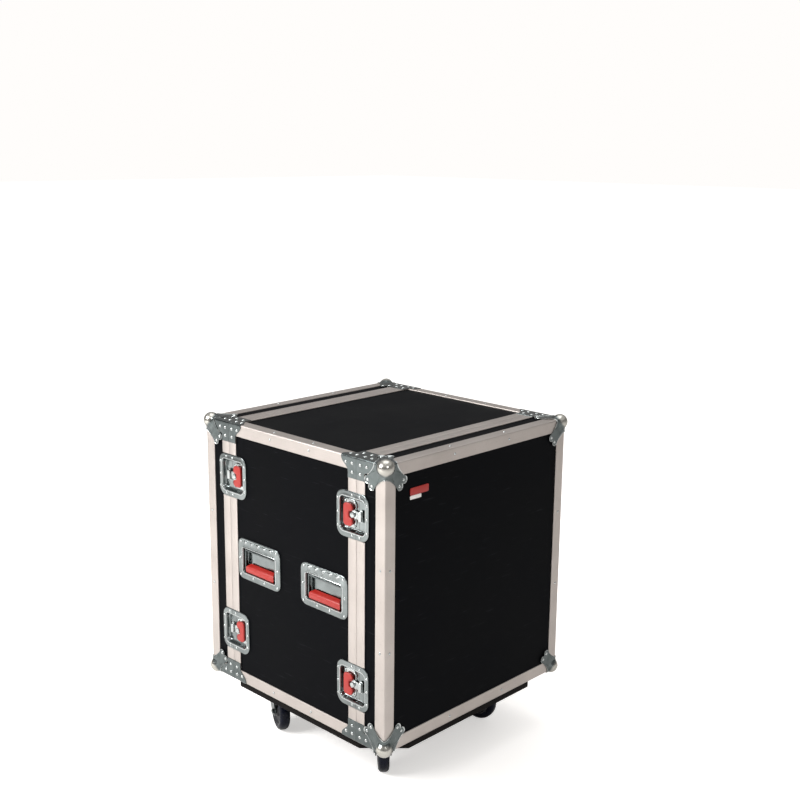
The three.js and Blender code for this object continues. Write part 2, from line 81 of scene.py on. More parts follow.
def linear(code):
    """The linear colour of an sRGB hex code, with full alpha."""
    channel = np.array([int(code[i:i + 2], 16) for i in (1, 3, 5)]) / 255
    bright = ((channel + 0.055) / 1.055) ** 2.4
    return (*np.where(channel <= 0.04045, channel / 12.92, bright).tolist(), 1.0)


def add(tree, kind, inputs=None, **settings):
    """Adds a node: settings are its own properties, inputs are values or links by socket."""
    made = tree.nodes.new(kind)
    for name, value in settings.items():
        setattr(made, name, value)
    for name, value in (inputs or {}).items():
        if isinstance(value, bpy.types.NodeSocket):
            tree.links.new(value, made.inputs[name])
        else:
            made.inputs[name].default_value = value
    return made


def new_finish(name):
    """A material with no nodes yet, and its node tree to fill."""
    made = bpy.data.materials.new(name)
    made.use_nodes = True
    made.node_tree.nodes.clear()
    return made, made.node_tree


def close_finish(tree, **inputs):
    """The shader that ends a finish, with its sockets given by name, linked to the output."""
    sockets = {name.replace("_", " "): value for name, value in inputs.items()}
    shader = add(tree, "ShaderNodeBsdfPrincipled", sockets)
    add(tree, "ShaderNodeOutputMaterial", {"Surface": shader.outputs[0]})


FLOOR_REACH = 40  # half the floor, in metres
SKY_LIT, SKY_SEEN = 0.34, 1.0
FLOOR_GLOW = 0.5  # the lens sees the floor lighter by this much, so that it meets the sky
floor_mesh = bpy.data.meshes.new("floor")
floor_mesh.from_pydata([(-FLOOR_REACH, -FLOOR_REACH, 0), (FLOOR_REACH, -FLOOR_REACH, 0),
                        (FLOOR_REACH, FLOOR_REACH, 0), (-FLOOR_REACH, FLOOR_REACH, 0)],
                       [], [(0, 1, 2, 3)])
floor = bpy.data.objects.new("floor", floor_mesh)
scene.collection.objects.link(floor)
floor_paint, tree = new_finish("matt_white_studio_floor")
seen = add(tree, "ShaderNodeLightPath").outputs["Is Camera Ray"]
glow = add(tree, "ShaderNodeMath", {0: seen, 1: FLOOR_GLOW}, operation="MULTIPLY")
close_finish(tree, Base_Color=linear("#f7f5f3"), Roughness=0.9, Emission_Color=linear("#fffdfb"),
             Emission_Strength=glow.outputs[0])
floor_mesh.materials.append(floor_paint)

# The lens sees a white sky, while the case is lit by a dimmer one, which keeps its metal dark.
sky = bpy.data.worlds.new("sky")
sky.use_nodes = True
tree = sky.node_tree
tree.nodes.clear()
seen = add(tree, "ShaderNodeLightPath").outputs["Is Camera Ray"]
strength = add(tree, "ShaderNodeMapRange", {"Value": seen, "To Min": SKY_LIT, "To Max": SKY_SEEN})
glow = add(tree, "ShaderNodeBackground", {"Color": linear("#fffdfb"),
                                          "Strength": strength.outputs[0]})
add(tree, "ShaderNodeOutputWorld", {"Surface": glow.outputs[0]})
scene.world = sky
scene.view_settings.view_transform = "Standard"


def soft_light(name, place, target, size, watts):
    """A square area light at a place, turned to face a target."""
    lamp = bpy.data.lights.new(name, "AREA")
    lamp.size = size
    lamp.energy = watts
    holder = bpy.data.objects.new(name, lamp)
    holder.location = place
    holder.rotation_mode = "QUATERNION"
    holder.rotation_quaternion = (Vector(target) - Vector(place)).to_track_quat("-Z", "Y")
    scene.collection.objects.link(holder)


soft_light("left_light", (-3.2, 1.5, 2.3), (-0.5, 0.4, 0.2), 1.8, 185)
soft_light("front_light", (-1.2, -3.4, 2.4), (0, 0, 0.5), 0.8, 18)
soft_light("top_light", (0.3, 0.2, 4.2), (0, 0, 0.5), 3.0, 48)
noon = bpy.data.lights.new("overhead_fill", "SUN")
noon.energy = 0.9
noon.angle = math.radians(120)
scene.collection.objects.link(bpy.data.objects.new("overhead_fill", noon))

# ---- Plywood panels -------------------------------------------------------------------------
# The body's four panels and the lids' five are 9 mm birch plywood, faced on both sides with a
# black phenolic film. They are cut square, so the CAD solids are shown as they are.

PEBBLE = 1.6  # width of one grain of the film's embossing, in mm

# Phenolic film: matt black, finely pebbled, a little greyer where it has been rubbed.
film, tree = new_finish("black_film_faced_plywood")
where = add(tree, "ShaderNodeTexCoord").outputs["Object"]
grain = add(tree, "ShaderNodeTexVoronoi", {"Vector": where, "Scale": 1 / (PEBBLE * MM)})
cloud = add(tree, "ShaderNodeTexNoise", {"Vector": where, "Scale": 6, "Detail": 6})
drag = add(tree, "ShaderNodeMapping", {"Vector": where, "Rotation": (0.5, 0.4, 0.6),
                                       "Scale": (9, 9, 160)})
scuff = add(tree, "ShaderNodeTexNoise", {"Vector": drag.outputs[0], "Scale": 2, "Detail": 3})
worn = add(tree, "ShaderNodeMapRange", {"Value": scuff.outputs[0], "From Min": 0.66,
                                        "From Max": 0.78})
tone = add(tree, "ShaderNodeMix", {0: cloud.outputs[0], 6: linear("#030405"),
                                   7: linear("#07080c")}, data_type="RGBA")
paint = add(tree, "ShaderNodeMix", {0: worn.outputs[0], 6: tone.outputs[2],
                                    7: linear("#1f2023")}, data_type="RGBA")
dull = add(tree, "ShaderNodeMapRange", {"Value": cloud.outputs[0], "To Min": 0.42,
                                        "To Max": 0.6})
bump = add(tree, "ShaderNodeBump", {"Height": grain.outputs["Distance"], "Strength": 0.3,
                                    "Distance": 0.15 * MM})
close_finish(tree, Base_Color=paint.outputs[2], Roughness=dull.outputs[0],
             Specular_IOR_Level=0.03, Normal=bump.outputs[0])
for name in ("body_carcass", "front_lid_shell", "rear_lid_shell"):
    frame["nodes"][name].material_slots[0].material = film

# ---- Edge angles ----------------------------------------------------------------------------
# Extruded aluminium angle, 30 x 30 x 2 mm, riveted over every long edge. Where it runs into a
# ball corner its end is cropped to an arch, so that the corner's flanges lie beside it.

PANEL_DROP = 2.3  # panels' outer faces, below the angles' outer faces
panel_low, panel_high = (np.array(corner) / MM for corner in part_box("body_carcass"))
HALF_W = panel_high[0] + PANEL_DROP
BASE, TOP = panel_low[2] - PANEL_DROP, panel_high[2] + PANEL_DROP
HALF_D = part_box("front_lid_shell")[0].y / -MM + PANEL_DROP
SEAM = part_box("body_trim_frame")[1].y / MM + 0.3
MIDDLE = (BASE + TOP) / 2
SIDES = (("left", -1), ("right", 1))
ENDS = (("front", -1), ("rear", 1))
LEVELS = (("upper", 1), ("lower", -1))
X, Y, Z = np.eye(3)

LEG, WALL, FOLD = 30, 2, 3  # leg, thickness and outer fold radius
ARCH_START, ARCH_RISE = 35, 18  # the arch's point from the corner, and its height at the leg ends
STRIP = 26  # width of the mouth profile's face, where the body's angles stop
RIVET_ROW = 15  # rivets in from the edge
BODY_SPOTS, LID_SPOTS = (-68, 68), (-95, 95)  # rivets along each angle, from its middle


def arch(across):
    """Distance of the cropped end from the case's corner: it grows as the square of the distance
    across from the fold."""
    return ARCH_START + ARCH_RISE * (across / LEG) ** 2


def folded_strip(starts, ends, leg, radius, lift, wall):
    """A strip folded lengthways along x, whose two ends are functions of the distance across from
    the fold. A quarter circle makes the fold, and a small one rounds off each free edge."""
    fine = np.linspace(0, 1, 5)
    roll = 0.8  # width of the round on a free edge
    half = np.concatenate([radius * fine[1:], np.linspace(radius, leg - roll, 24)[1:],
                           leg - roll + roll * fine[1:]])
    across = np.concatenate([-half[::-1], [0], half])
    turn = math.pi / 4 * (1 + np.clip(across / radius, -1, 1))
    past = np.maximum(np.abs(across) - radius, 0)
    edge = np.clip((np.abs(across) - leg + roll) / roll, 0, 1)
    drop = roll * 0.6 * (1 - np.sqrt(1 - edge ** 2))
    along = np.stack([starts(np.abs(across)), ends(np.abs(across))])

    def side(height):
        reach = radius + height - drop
        first = reach * np.cos(turn) - radius - np.where(across > 0, past, 0)
        second = reach * np.sin(turn) - radius - np.where(across < 0, past, 0)
        return np.stack([along, np.tile(first, (2, 1)), np.tile(second, (2, 1))], -1)

    return closed_sheet(side(lift), side(lift - wall))


def closed_sheet(front, back, ring=False):
    """Two like grids of points as one closed shell, with strips between their borders. The
    columns of a ring meet by themselves, and its last row is one point, so it has only one."""
    strips = [np.stack([front[0], back[0]])]
    if not ring:
        strips += [np.stack([front[-1], back[-1]]), np.stack([front[:, 0], back[:, 0]]),
                   np.stack([front[:, -1], back[:, -1]])]
    return [front, back, *strips]


def placed(grids, origin, x, y, z):
    """Grids in mm on their own axes, moved to the case's axes, still in mm."""
    axes = np.array([x, y, z], float)
    return [np.asarray(grid) @ axes + origin for grid in grids]


def rivets(spots, radius=3.3, height=1.6):
    """Domed heads standing on a local z plane: each is a quarter circle turned about its axis,
    with a short skirt below it."""
    turn = np.linspace(0, 2 * math.pi, 13)
    climb = np.linspace(0, math.pi / 2, 5)
    ring = np.concatenate([[0, 1], np.cos(climb)])[:, None] * radius
    lift = np.concatenate([[-0.6, -0.6], height * np.sin(climb)])[:, None]
    dome = np.stack([ring * np.cos(turn), ring * np.sin(turn), lift + 0 * turn], -1)
    return [dome + np.array(spot, float) for spot in spots]


def distances(grid, axis):
    """How far each point of a grid lies along its row or column, for the UV map."""
    steps = np.linalg.norm(np.diff(grid, axis=axis), axis=-1)
    pad = [(1, 0) if axis == way else (0, 0) for way in (0, 1)]
    return np.cumsum(np.pad(steps, pad), axis=axis)


def piece(name, grids, finish, body, slot, *replaced, sharp=35):
    """One object from grids of points and from flat outlines that each make one face, in mm. It
    is welded, closed, facing outwards and smooth up to an angle. Its UV map holds the distances
    across and along each grid in mm."""
    points, corners, sizes, spread, first = [], [], [], [], 0
    for grid in grids:
        index = first + np.arange(grid[..., 0].size).reshape(grid.shape[:-1])
        if grid.ndim == 2:
            faces = index[None]
            spread.append(grid[:, :2])
        else:
            faces = np.stack([index[:-1, :-1], index[:-1, 1:], index[1:, 1:], index[1:, :-1]], -1)
            faces = faces.reshape(-1, 4)
            spread.append(np.stack([distances(grid, 1), distances(grid, 0)], -1).reshape(-1, 2))
        points.append(grid.reshape(-1, 3))
        corners.append(faces.ravel())
        sizes.append(np.full(len(faces), faces.shape[1]))
        first += index.size
    points, corners = np.concatenate(points) * MM, np.concatenate(corners)
    sizes, spread = np.concatenate(sizes), np.concatenate(spread)
    mesh = bpy.data.meshes.new(name)
    mesh.vertices.add(len(points))
    mesh.vertices.foreach_set("co", points.ravel())
    mesh.loops.add(len(corners))
    mesh.loops.foreach_set("vertex_index", corners)
    mesh.polygons.add(len(sizes))
    mesh.polygons.foreach_set("loop_start", np.cumsum(sizes) - sizes)
    mesh.uv_layers.new(name="distance").data.foreach_set("uv", spread[corners].ravel())
    mesh.update(calc_edges=True)
    weld = bmesh.new()
    weld.from_mesh(mesh)
    bmesh.ops.remove_doubles(weld, verts=weld.verts, dist=2e-6)
    bmesh.ops.recalc_face_normals(weld, faces=weld.faces)
    weld.to_mesh(mesh)
    weld.free()
    mesh.shade_smooth()
    mesh.set_sharp_from_angle(angle=math.radians(sharp))
    mesh.materials.append(finish)
    made = bpy.data.objects.new(name, mesh)
    scene.collection.objects.link(made)
    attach(made, body)
    if replaced:
        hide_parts(*replaced)
    return made


# Extruded aluminium, satin anodised: fine die lines along the length, and handling marks.
DIE_LINE = 0.9  # spacing of the die lines in mm, coarser than real so that it shows
satin, tree = new_finish("satin_anodised_aluminium")
span = add(tree, "ShaderNodeUVMap", uv_map="distance").outputs[0]
where = add(tree, "ShaderNodeTexCoord").outputs["Object"]
draw = add(tree, "ShaderNodeMapping", {"Vector": span, "Scale": (1 / DIE_LINE, 0.004, 1)})
lines = add(tree, "ShaderNodeTexNoise", {"Vector": draw.outputs[0], "Scale": 1, "Detail": 4})
cloud = add(tree, "ShaderNodeTexNoise", {"Vector": where, "Scale": 14, "Detail": 5})
nick = add(tree, "ShaderNodeTexNoise", {"Vector": where, "Scale": 260, "Detail": 2})
tone = add(tree, "ShaderNodeMix", {0: cloud.outputs[0], 6: linear("#ada5a0"),
                                   7: linear("#c6bfba")}, data_type="RGBA")
dull = add(tree, "ShaderNodeMapRange", {"Value": lines.outputs[0], "From Min": 0.3,
                                        "From Max": 0.7, "To Min": 0.36, "To Max": 0.5})
mark = add(tree, "ShaderNodeMapRange", {"Value": nick.outputs[0], "From Min": 0.62,
                                        "From Max": 0.8, "To Min": 0, "To Max": 0.35})
rough = add(tree, "ShaderNodeMath", {0: dull.outputs[0], 1: mark.outputs[0]}, operation="ADD")
bump = add(tree, "ShaderNodeBump", {"Height": lines.outputs[0], "Strength": 0.12,
                                    "Distance": 0.1 * MM})
close_finish(tree, Base_Color=tone.outputs[2], Metallic=1.0, Roughness=rough.outputs[0],
             Normal=bump.outputs[0])

# Zinc-plated pressed steel, bright: soft blotches in the plating and a faint rolled grain.
FLECK = 2.4  # size of a crystal in the plating in mm, coarser than real so that it shows
zinc, tree = new_finish("bright_zinc_plated_steel")
where = add(tree, "ShaderNodeTexCoord").outputs["Object"]
cloud = add(tree, "ShaderNodeTexNoise", {"Vector": where, "Scale": 45, "Detail": 4})
fleck = add(tree, "ShaderNodeTexVoronoi", {"Vector": where, "Scale": 1 / (FLECK * MM)})
tone = add(tree, "ShaderNodeMix", {0: cloud.outputs[0], 6: linear("#414848"),
                                   7: linear("#757c7c")}, data_type="RGBA")
dull = add(tree, "ShaderNodeMapRange", {"Value": cloud.outputs[0], "From Min": 0.3,
                                        "From Max": 0.7, "To Min": 0.12, "To Max": 0.26})
bump = add(tree, "ShaderNodeBump", {"Height": fleck.outputs["Distance"], "Strength": 0.06,
                                    "Distance": 0.1 * MM})
close_finish(tree, Base_Color=tone.outputs[2], Metallic=1.0, Roughness=dull.outputs[0],
             Normal=bump.outputs[0])

# Nickel-plated steel of the rivets and latch fittings: bright, with faint swirls from tumbling.
# The same bright finish is put on the corners' rim beads and the dishes' pocket lips as a painted
# highlight.
nickel, tree = new_finish("bright_nickel_plated_steel")
where = add(tree, "ShaderNodeTexCoord").outputs["Object"]
swirl = add(tree, "ShaderNodeTexNoise", {"Vector": where, "Scale": 300, "Detail": 3,
                                         "Distortion": 1})
tone = add(tree, "ShaderNodeMix", {0: swirl.outputs[0], 6: linear("#989d9d"),
                                   7: linear("#cfd3d2")}, data_type="RGBA")
dull = add(tree, "ShaderNodeMapRange", {"Value": swirl.outputs[0], "To Min": 0.12,
                                        "To Max": 0.34})
close_finish(tree, Base_Color=tone.outputs[2], Metallic=1.0, Roughness=dull.outputs[0])


def square_end(at):
    """An end cut square: the same place at every distance across."""
    return lambda across: at + 0 * across


def arched_end(corner, way):
    """An end cropped to the arch, at the case's corner in one direction along the edge."""
    return lambda across: corner + way * arch(across)


body_angles, body_heads = [], []
lid_angles = {"front": [], "rear": []}
lid_heads = {"front": [], "rear": []}
BUTT = SEAM - STRIP - 0.2
for _, side in SIDES:
    for _, rise in LEVELS:
        line = np.array([side * HALF_W, 0, MIDDLE + rise * (TOP - MIDDLE)])
        body_angles += placed(folded_strip(square_end(-BUTT), square_end(BUTT), LEG, FOLD, 0, WALL),
                              line, Y, side * X, rise * Z)
        for spot in BODY_SPOTS:
            for out, inward in ((side * X, -rise * Z), (rise * Z, -side * X)):
                body_heads += placed(rivets([(spot, RIVET_ROW, 0)]), line, Y, inward, out)
        for end_name, end in ENDS:
            strip = folded_strip(square_end(SEAM + STRIP + 0.2), arched_end(HALF_D, -1), LEG, FOLD,
                                 0, WALL)
            lid_angles[end_name] += placed(strip, line, end * Y, side * X, rise * Z)
for end_name, end in ENDS:
    for half, long_axis, cross_axis, centre in (
            (TOP - MIDDLE, Z, X, HALF_W), (HALF_W, X, Z, TOP - MIDDLE)):
        for way in (-1, 1):
            line = way * centre * cross_axis + end * HALF_D * Y + MIDDLE * Z
            strip = folded_strip(arched_end(-half, 1), arched_end(half, -1), LEG, FOLD, 0, WALL)
            lid_angles[end_name] += placed(strip, line, long_axis, way * cross_axis, end * Y)
            for spot in LID_SPOTS:
                for out, inward in ((way * cross_axis, -end * Y), (end * Y, -way * cross_axis)):
                    lid_heads[end_name] += placed(rivets([(spot, RIVET_ROW, 0)]), line,
                                                  long_axis, inward, out)
piece("body_edge_angles", body_angles, satin, "case", "satin_aluminium", "body_trim_frame")
piece("body_angle_rivets", body_heads, nickel, "case", "bright_zinc")
for end_name, _ in ENDS:
    piece(f"{end_name}_lid_edge_angles", lid_angles[end_name], satin, f"{end_name}_lid",
          "satin_aluminium", f"{end_name}_lid_trim")
    piece(f"{end_name}_lid_angle_rivets", lid_heads[end_name], nickel, f"{end_name}_lid",
          "bright_zinc")

# ---- Mouth profiles -------------------------------------------------------------------------
# Hybrid aluminium extrusions close the plywood's edges all round both mouths: a face strip, a
# web, and an inner lip. The lid's tongue seats in the body's groove. They stop at the latches.

BODY_SECTION = ((0.3, 0), (26, 0), (26, 2), (9.3, 2), (9.3, 11.6), (18, 11.6), (18, 13.4),
                (0.3, 13.4), (0.3, 8), (5.3, 8), (5.3, 3.4), (0.3, 3.4))
LID_SECTION = ((0.3, 0), (26, 0), (26, 2), (5.3, 2), (5.3, 11.6), (18, 11.6), (18, 13.4),
               (0.3, 13.4), (0.3, 7.5), (-4.2, 7.5), (-4.2, 3.9), (0.3, 3.9))
LIP_SECTION = ((0.3, 11.6), (18, 11.6), (18, 13.4), (0.3, 13.4))
dish_low, dish_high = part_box("latch_dish_left_front_upper")
LATCH_RISE = (dish_low.z + dish_high.z) / 2 / MM - MIDDLE
LATCH_HALF = (dish_high.z - dish_low.z) / 2 / MM
NOTCH = LATCH_HALF + 0.3
APART = 0.05  # between the ends of two runs of the inner lip


def round_corners(corners, radii, steps=4):
    """A closed outline through corners. An arc tangent to both sides takes each corner's place:
    its centre lies on the corner's bisector and its points turn evenly between the tangents."""
    point = np.array(corners, float)
    before, after = np.roll(point, 1, 0) - point, np.roll(point, -1, 0) - point
    before /= np.linalg.norm(before, axis=1)[:, None]
    after /= np.linalg.norm(after, axis=1)[:, None]
    half = np.arccos(np.clip((before * after).sum(1), -1, 1))[:, None] / 2
    radius = np.broadcast_to(radii, len(point)).astype(float)[:, None]
    bisector = (before + after) / np.linalg.norm(before + after, axis=1)[:, None]
    centre = point + bisector * radius / np.sin(half)
    start = (point + before * radius / np.tan(half) - centre)[:, None]
    stop = (point + after * radius / np.tan(half) - centre)[:, None]
    share = np.linspace(0, 1, steps)[None, :, None]
    swing = (math.pi - 2 * half)[:, :, None]
    arc = (np.sin((1 - share) * swing) * start + np.sin(share * swing) * stop) / np.sin(swing)
    outline = (centre[:, None] + arc).reshape(-1, 2)
    return np.concatenate([outline, outline[:1]])


def mouth_run(section, path, inward, seam, way):
    """A section carried along a path round the mouth. Each of its points is set in from the path
    by its own inset, and lies off the seam plane by its own distance."""
    off, inset = round_corners(section, 0.4, 3).T
    spot = np.array(path)[:, None] + np.array(inward)[:, None] * inset[None, :, None]
    depth = np.broadcast_to(seam + way * off, spot.shape[:2])
    grid = np.stack([spot[..., 0], depth, spot[..., 1]], -1)
    return [grid, grid[0, :-1], grid[-1, :-1]]


def mouth_runs(section, seam, way):
    """All the runs round one mouth: over the top, under the bottom, and between the latches."""
    runs = []
    for rise in (1, -1):
        edge, corner = MIDDLE + rise * (LATCH_RISE + NOTCH), MIDDLE + rise * (TOP - MIDDLE)
        runs += mouth_run(section, [(-HALF_W, edge), (-HALF_W, corner), (HALF_W, corner),
                                    (HALF_W, edge)],
                          [(1, 0), (1, -rise), (-1, -rise), (-1, 0)], seam, way)
    for side in (-1, 1):
        low, high = MIDDLE - LATCH_RISE + NOTCH, MIDDLE + LATCH_RISE - NOTCH
        runs += mouth_run(section, [(side * HALF_W, low), (side * HALF_W, high)],
                          [(-side, 0), (-side, 0)], seam, way)
        for rise in (1, -1):
            spot = MIDDLE + rise * LATCH_RISE
            runs += mouth_run(LIP_SECTION, [(side * HALF_W, spot - NOTCH + APART),
                                            (side * HALF_W, spot + NOTCH - APART)],
                              [(-side, 0), (-side, 0)], seam, way)
    return runs


body_mouths = [grid for _, end in ENDS for grid in mouth_runs(BODY_SECTION, end * SEAM, -end)]
piece("body_mouth_profiles", body_mouths, satin, "case", "satin_aluminium", "body_trim_frame")
for end_name, end in ENDS:
    piece(f"{end_name}_lid_mouth_profile", mouth_runs(LID_SECTION, end * SEAM, end), satin,
          f"{end_name}_lid", "satin_aluminium", f"{end_name}_lid_trim")

# ---- Corner braces --------------------------------------------------------------------------
# Pressed zinc plates folded over each long edge beside the seam, half on the body and half on
# the lid. They tie the mouth profile to the angle with three rivets in each face.

BRACE_LEG, BRACE_THICK, BRACE_WALL = 49, 1.2, 1.3  # its back is just under the angle's face
BRACE_FOOT = 26  # width of the part that lies on the mouth profile
BRACE_REACH = 47  # width of the part that lies on the edge angle
BRACE_RIVETS = ((12.5, 15), (32.5, 15), (12.5, 35))
BODY_NARROWS, LID_NARROWS = (6, 34), (26, 33)  # distances across, where each half narrows
BIG_HEAD = (4.1, 2)  # radius and height of the braces' and ball corners' rivet heads


def ease(value, start, stop):
    """Goes from 1 at the start to 0 at the stop along half a cosine wave."""
    return 0.5 + 0.5 * np.cos(math.pi * np.clip((value - start) / (stop - start), 0, 1))


def body_foot(across):
    """The body half's outer end: wide on the angle, then a hollow curve in to the foot."""
    return BRACE_FOOT + (BRACE_REACH - BRACE_FOOT) * ease(across, *BODY_NARROWS)


def lid_foot(across):
    """The lid half's outer end: it follows the ball corner's flange, then curves in."""
    reach = HALF_D - SEAM - 0.6 - arch(np.minimum(across, LEG))
    return BRACE_FOOT - 1 + (reach - BRACE_FOOT + 1) * ease(across, *LID_NARROWS)


brace_halves = {"case": [], "front_lid": [], "rear_lid": []}
brace_heads = {"case": [], "front_lid": [], "rear_lid": []}
for _, side in SIDES:
    for _, rise in LEVELS:
        for end_name, end in ENDS:
            corner = np.array([side * HALF_W, end * SEAM, MIDDLE + rise * (TOP - MIDDLE)])
            for body, way, foot in (("case", -end, body_foot), (f"{end_name}_lid", end, lid_foot)):
                half = folded_strip(square_end(0.35), foot, BRACE_LEG, FOLD, BRACE_THICK,
                                    BRACE_WALL)
                brace_halves[body] += placed(half, corner, way * Y, side * X, rise * Z)
                heads = rivets([(*spot, BRACE_THICK) for spot in BRACE_RIVETS], *BIG_HEAD)
                for out, inward in ((side * X, -rise * Z), (rise * Z, -side * X)):
                    brace_heads[body] += placed(heads, corner, way * Y, inward, out)
for body, grids in brace_halves.items():
    node = "body_trim_frame" if body == "case" else f"{body}_trim"
    piece(f"{body}_corner_braces", grids, zinc, body, "bright_zinc", node)
    piece(f"{body}_brace_rivets", brace_heads[body], nickel, body, "bright_zinc")

# ---- Ball corners ---------------------------------------------------------------------------
# Each is one deep pressing of zinc-plated steel: a ball over the corner that flares into three
# flanges, folded over the edges. A flange ends in two lobes, with a rivet in each.

# Zinc-plated pressing, with a pale reflection painted into its colour over the ball.
SHEEN_FULL, SHEEN_GONE = 24, 30  # distances from the corner, in mm, between which the painted reflection fades
ball_sheen_zinc, tree = new_finish("zinc_pressing_painted_ball_sheen")
span = add(tree, "ShaderNodeUVMap", uv_map="distance").outputs[0]
reach = add(tree, "ShaderNodeSeparateXYZ", {"Vector": span}).outputs[1]
where = add(tree, "ShaderNodeTexCoord").outputs["Object"]
cloud = add(tree, "ShaderNodeTexNoise", {"Vector": where, "Scale": 60, "Detail": 4})
tone = add(tree, "ShaderNodeMix", {0: cloud.outputs[0], 6: linear("#414848"),
                                   7: linear("#757c7c")}, data_type="RGBA")
painted_sheen = add(tree, "ShaderNodeMapRange", {"Value": reach, "From Min": SHEEN_FULL,
                                         "From Max": SHEEN_GONE, "To Min": 1, "To Max": 0})
# Painted reflection: near the corner the colour turns pale beige, as if the ball caught the light.
paint = add(tree, "ShaderNodeMix", {0: painted_sheen.outputs[0], 6: tone.outputs[2],
                                    7: linear("#b9b7b0")}, data_type="RGBA")
dull = add(tree, "ShaderNodeMapRange", {"Value": cloud.outputs[0], "From Min": 0.3,
                                        "From Max": 0.7, "To Min": 0.14, "To Max": 0.28})
close_finish(tree, Base_Color=paint.outputs[2], Metallic=1.0, Roughness=dull.outputs[0])

BALL_RADIUS, BALL_INSET = 19, 9
BLEND = 4.5  # how far the flare reaches from the ball, about
LOBE, LOBE_NEAR, LOBE_FAR = 9, 41, 53.5
FLANGE_LIFT = 1.6
# A flange steps down to its rivets by the first value, where the sum of a point's two distances
# from the corner goes from the second to the third.
PAD_DROP, PAD_START, PAD_END = 0.7, 66, 72
BEAD_ROWS = ((2.9, -0.4), (2.6, 0.5), (2, 1), (1.4, 1), (0.8, 0.5), (0.5, -0.4))  # in, up


def flange_outline():
    """Half of a flange's outline, from the fold along the arch of the angle's end and round its
    lobe, then the same with its axes changed over, back to the other fold."""
    near = np.linspace(0, LEG, 12)
    turn = np.radians(np.linspace(175, -26, 14))
    half = np.concatenate([
        np.column_stack([near, arch(near) - 0.5]),
        np.column_stack([LOBE_NEAR + LOBE * np.cos(turn), LOBE_FAR + LOBE * np.sin(turn)])])
    return np.concatenate([half, half[::-1, ::-1]])


def corner_surface(base, lift, ball):
    """Points out along rays from inside the case, on the surface where a rounded box corner with
    a lift and a ball meet in a smooth union. Halving finds each distance."""
    start = np.full(3, -30.0)  # a point inside the case
    ray = base - start
    near, far = np.zeros(base.shape[:-1]), np.full(base.shape[:-1], 3.0)
    for _ in range(34):
        middle = (near + far) / 2
        spot = start + ray * middle[..., None]
        off = spot + FOLD
        box = np.linalg.norm(np.maximum(off, 0), axis=-1) + np.minimum(off.max(-1), 0) - FOLD
        box = box - lift
        if ball:
            sphere = np.linalg.norm(spot + BALL_INSET, axis=-1) - BALL_RADIUS
            mixed = np.clip(0.5 + 0.5 * (box - sphere) / BLEND, 0, 1)
            box = box + (sphere - box) * mixed - BLEND * mixed * (1 - mixed)
        near, far = np.where(box < 0, middle, near), np.where(box < 0, far, middle)
    return start + ray * ((near + far) / 2)[..., None]


def ball_corner():
    """Three flanges that meet at their folds. Each runs from the corner out to its outline, with
    a step down to the pad that carries its rivets. A bead with a rounded back follows the rim.
    The pressings, the beads and the rivets' heads are returned apart."""
    outline = flange_outline()
    out = np.concatenate([np.linspace(0, 0.9, 17), [0.93, 0.955, 0.975, 0.99, 1]])
    flat = -outline[None] * out[:, None, None]
    rim = (1 - out[:, None]) * np.linalg.norm(outline, axis=1)
    roll = -0.8 * np.exp(-(rim / 0.5) ** 2)
    pad = -PAD_DROP * ease(-flat.sum(-1), PAD_END, PAD_START)
    grids, beads, heads = [], [], []
    inward, upward = np.array(BEAD_ROWS).T[:, :, None]
    track = -outline * (1 - inward / np.linalg.norm(outline, axis=1))[..., None]
    for axis in range(3):
        base = np.insert(flat, axis, 0, axis=-1)
        front = corner_surface(base, FLANGE_LIFT + roll + pad, True)
        back = corner_surface(base[[0, -1]], 0.2, False)
        grids += [front, back, np.stack([front[-1], back[-1]])]
        low = -PAD_DROP * ease(-track.sum(-1), PAD_END, PAD_START)
        ridge = corner_surface(np.insert(track, axis, 0, axis=-1), FLANGE_LIFT + low + upward, True)
        beads += [ridge, np.stack([ridge[0], ridge[-1]])]
        domes = rivets([(-LOBE_NEAR, -LOBE_FAR, FLANGE_LIFT - PAD_DROP),
                        (-LOBE_FAR, -LOBE_NEAR, FLANGE_LIFT - PAD_DROP)], *BIG_HEAD)
        axes = np.insert(np.eye(2), axis, 0, axis=-1)
        heads += placed(domes, np.zeros(3), axes[0], axes[1], np.eye(3)[axis])
    return grids, beads, heads


corner_grids, corner_beads, corner_heads = ball_corner()
for side_name, side in SIDES:
    for end_name, end in ENDS:
        for level_name, rise in LEVELS:
            corner = np.array([side * HALF_W, end * HALF_D, MIDDLE + rise * (TOP - MIDDLE)])
            name = f"ball_corner_{side_name}_{end_name}_{level_name}"
            piece(f"pressed_{name}", placed(corner_grids, corner, side * X, end * Y, rise * Z),
                  ball_sheen_zinc, f"{end_name}_lid", "bright_zinc", name, sharp=50)
            # The rim beads go with the rivets in bright nickel: a painted highlight along the
            # pressing's rim.
            bright = placed(corner_beads + corner_heads, corner, side * X, end * Y, rise * Z)
            piece(f"bead_highlight_and_rivets_{name}", bright, nickel, f"{end_name}_lid", "bright_zinc")

# ---- Latches --------------------------------------------------------------------------------
# Recessed butterfly latches across the seam: a deep-drawn zinc dish in two halves, a red wing on
# a spindle, and a hook that the spindle drives over a rib in the lid's half of the dish.

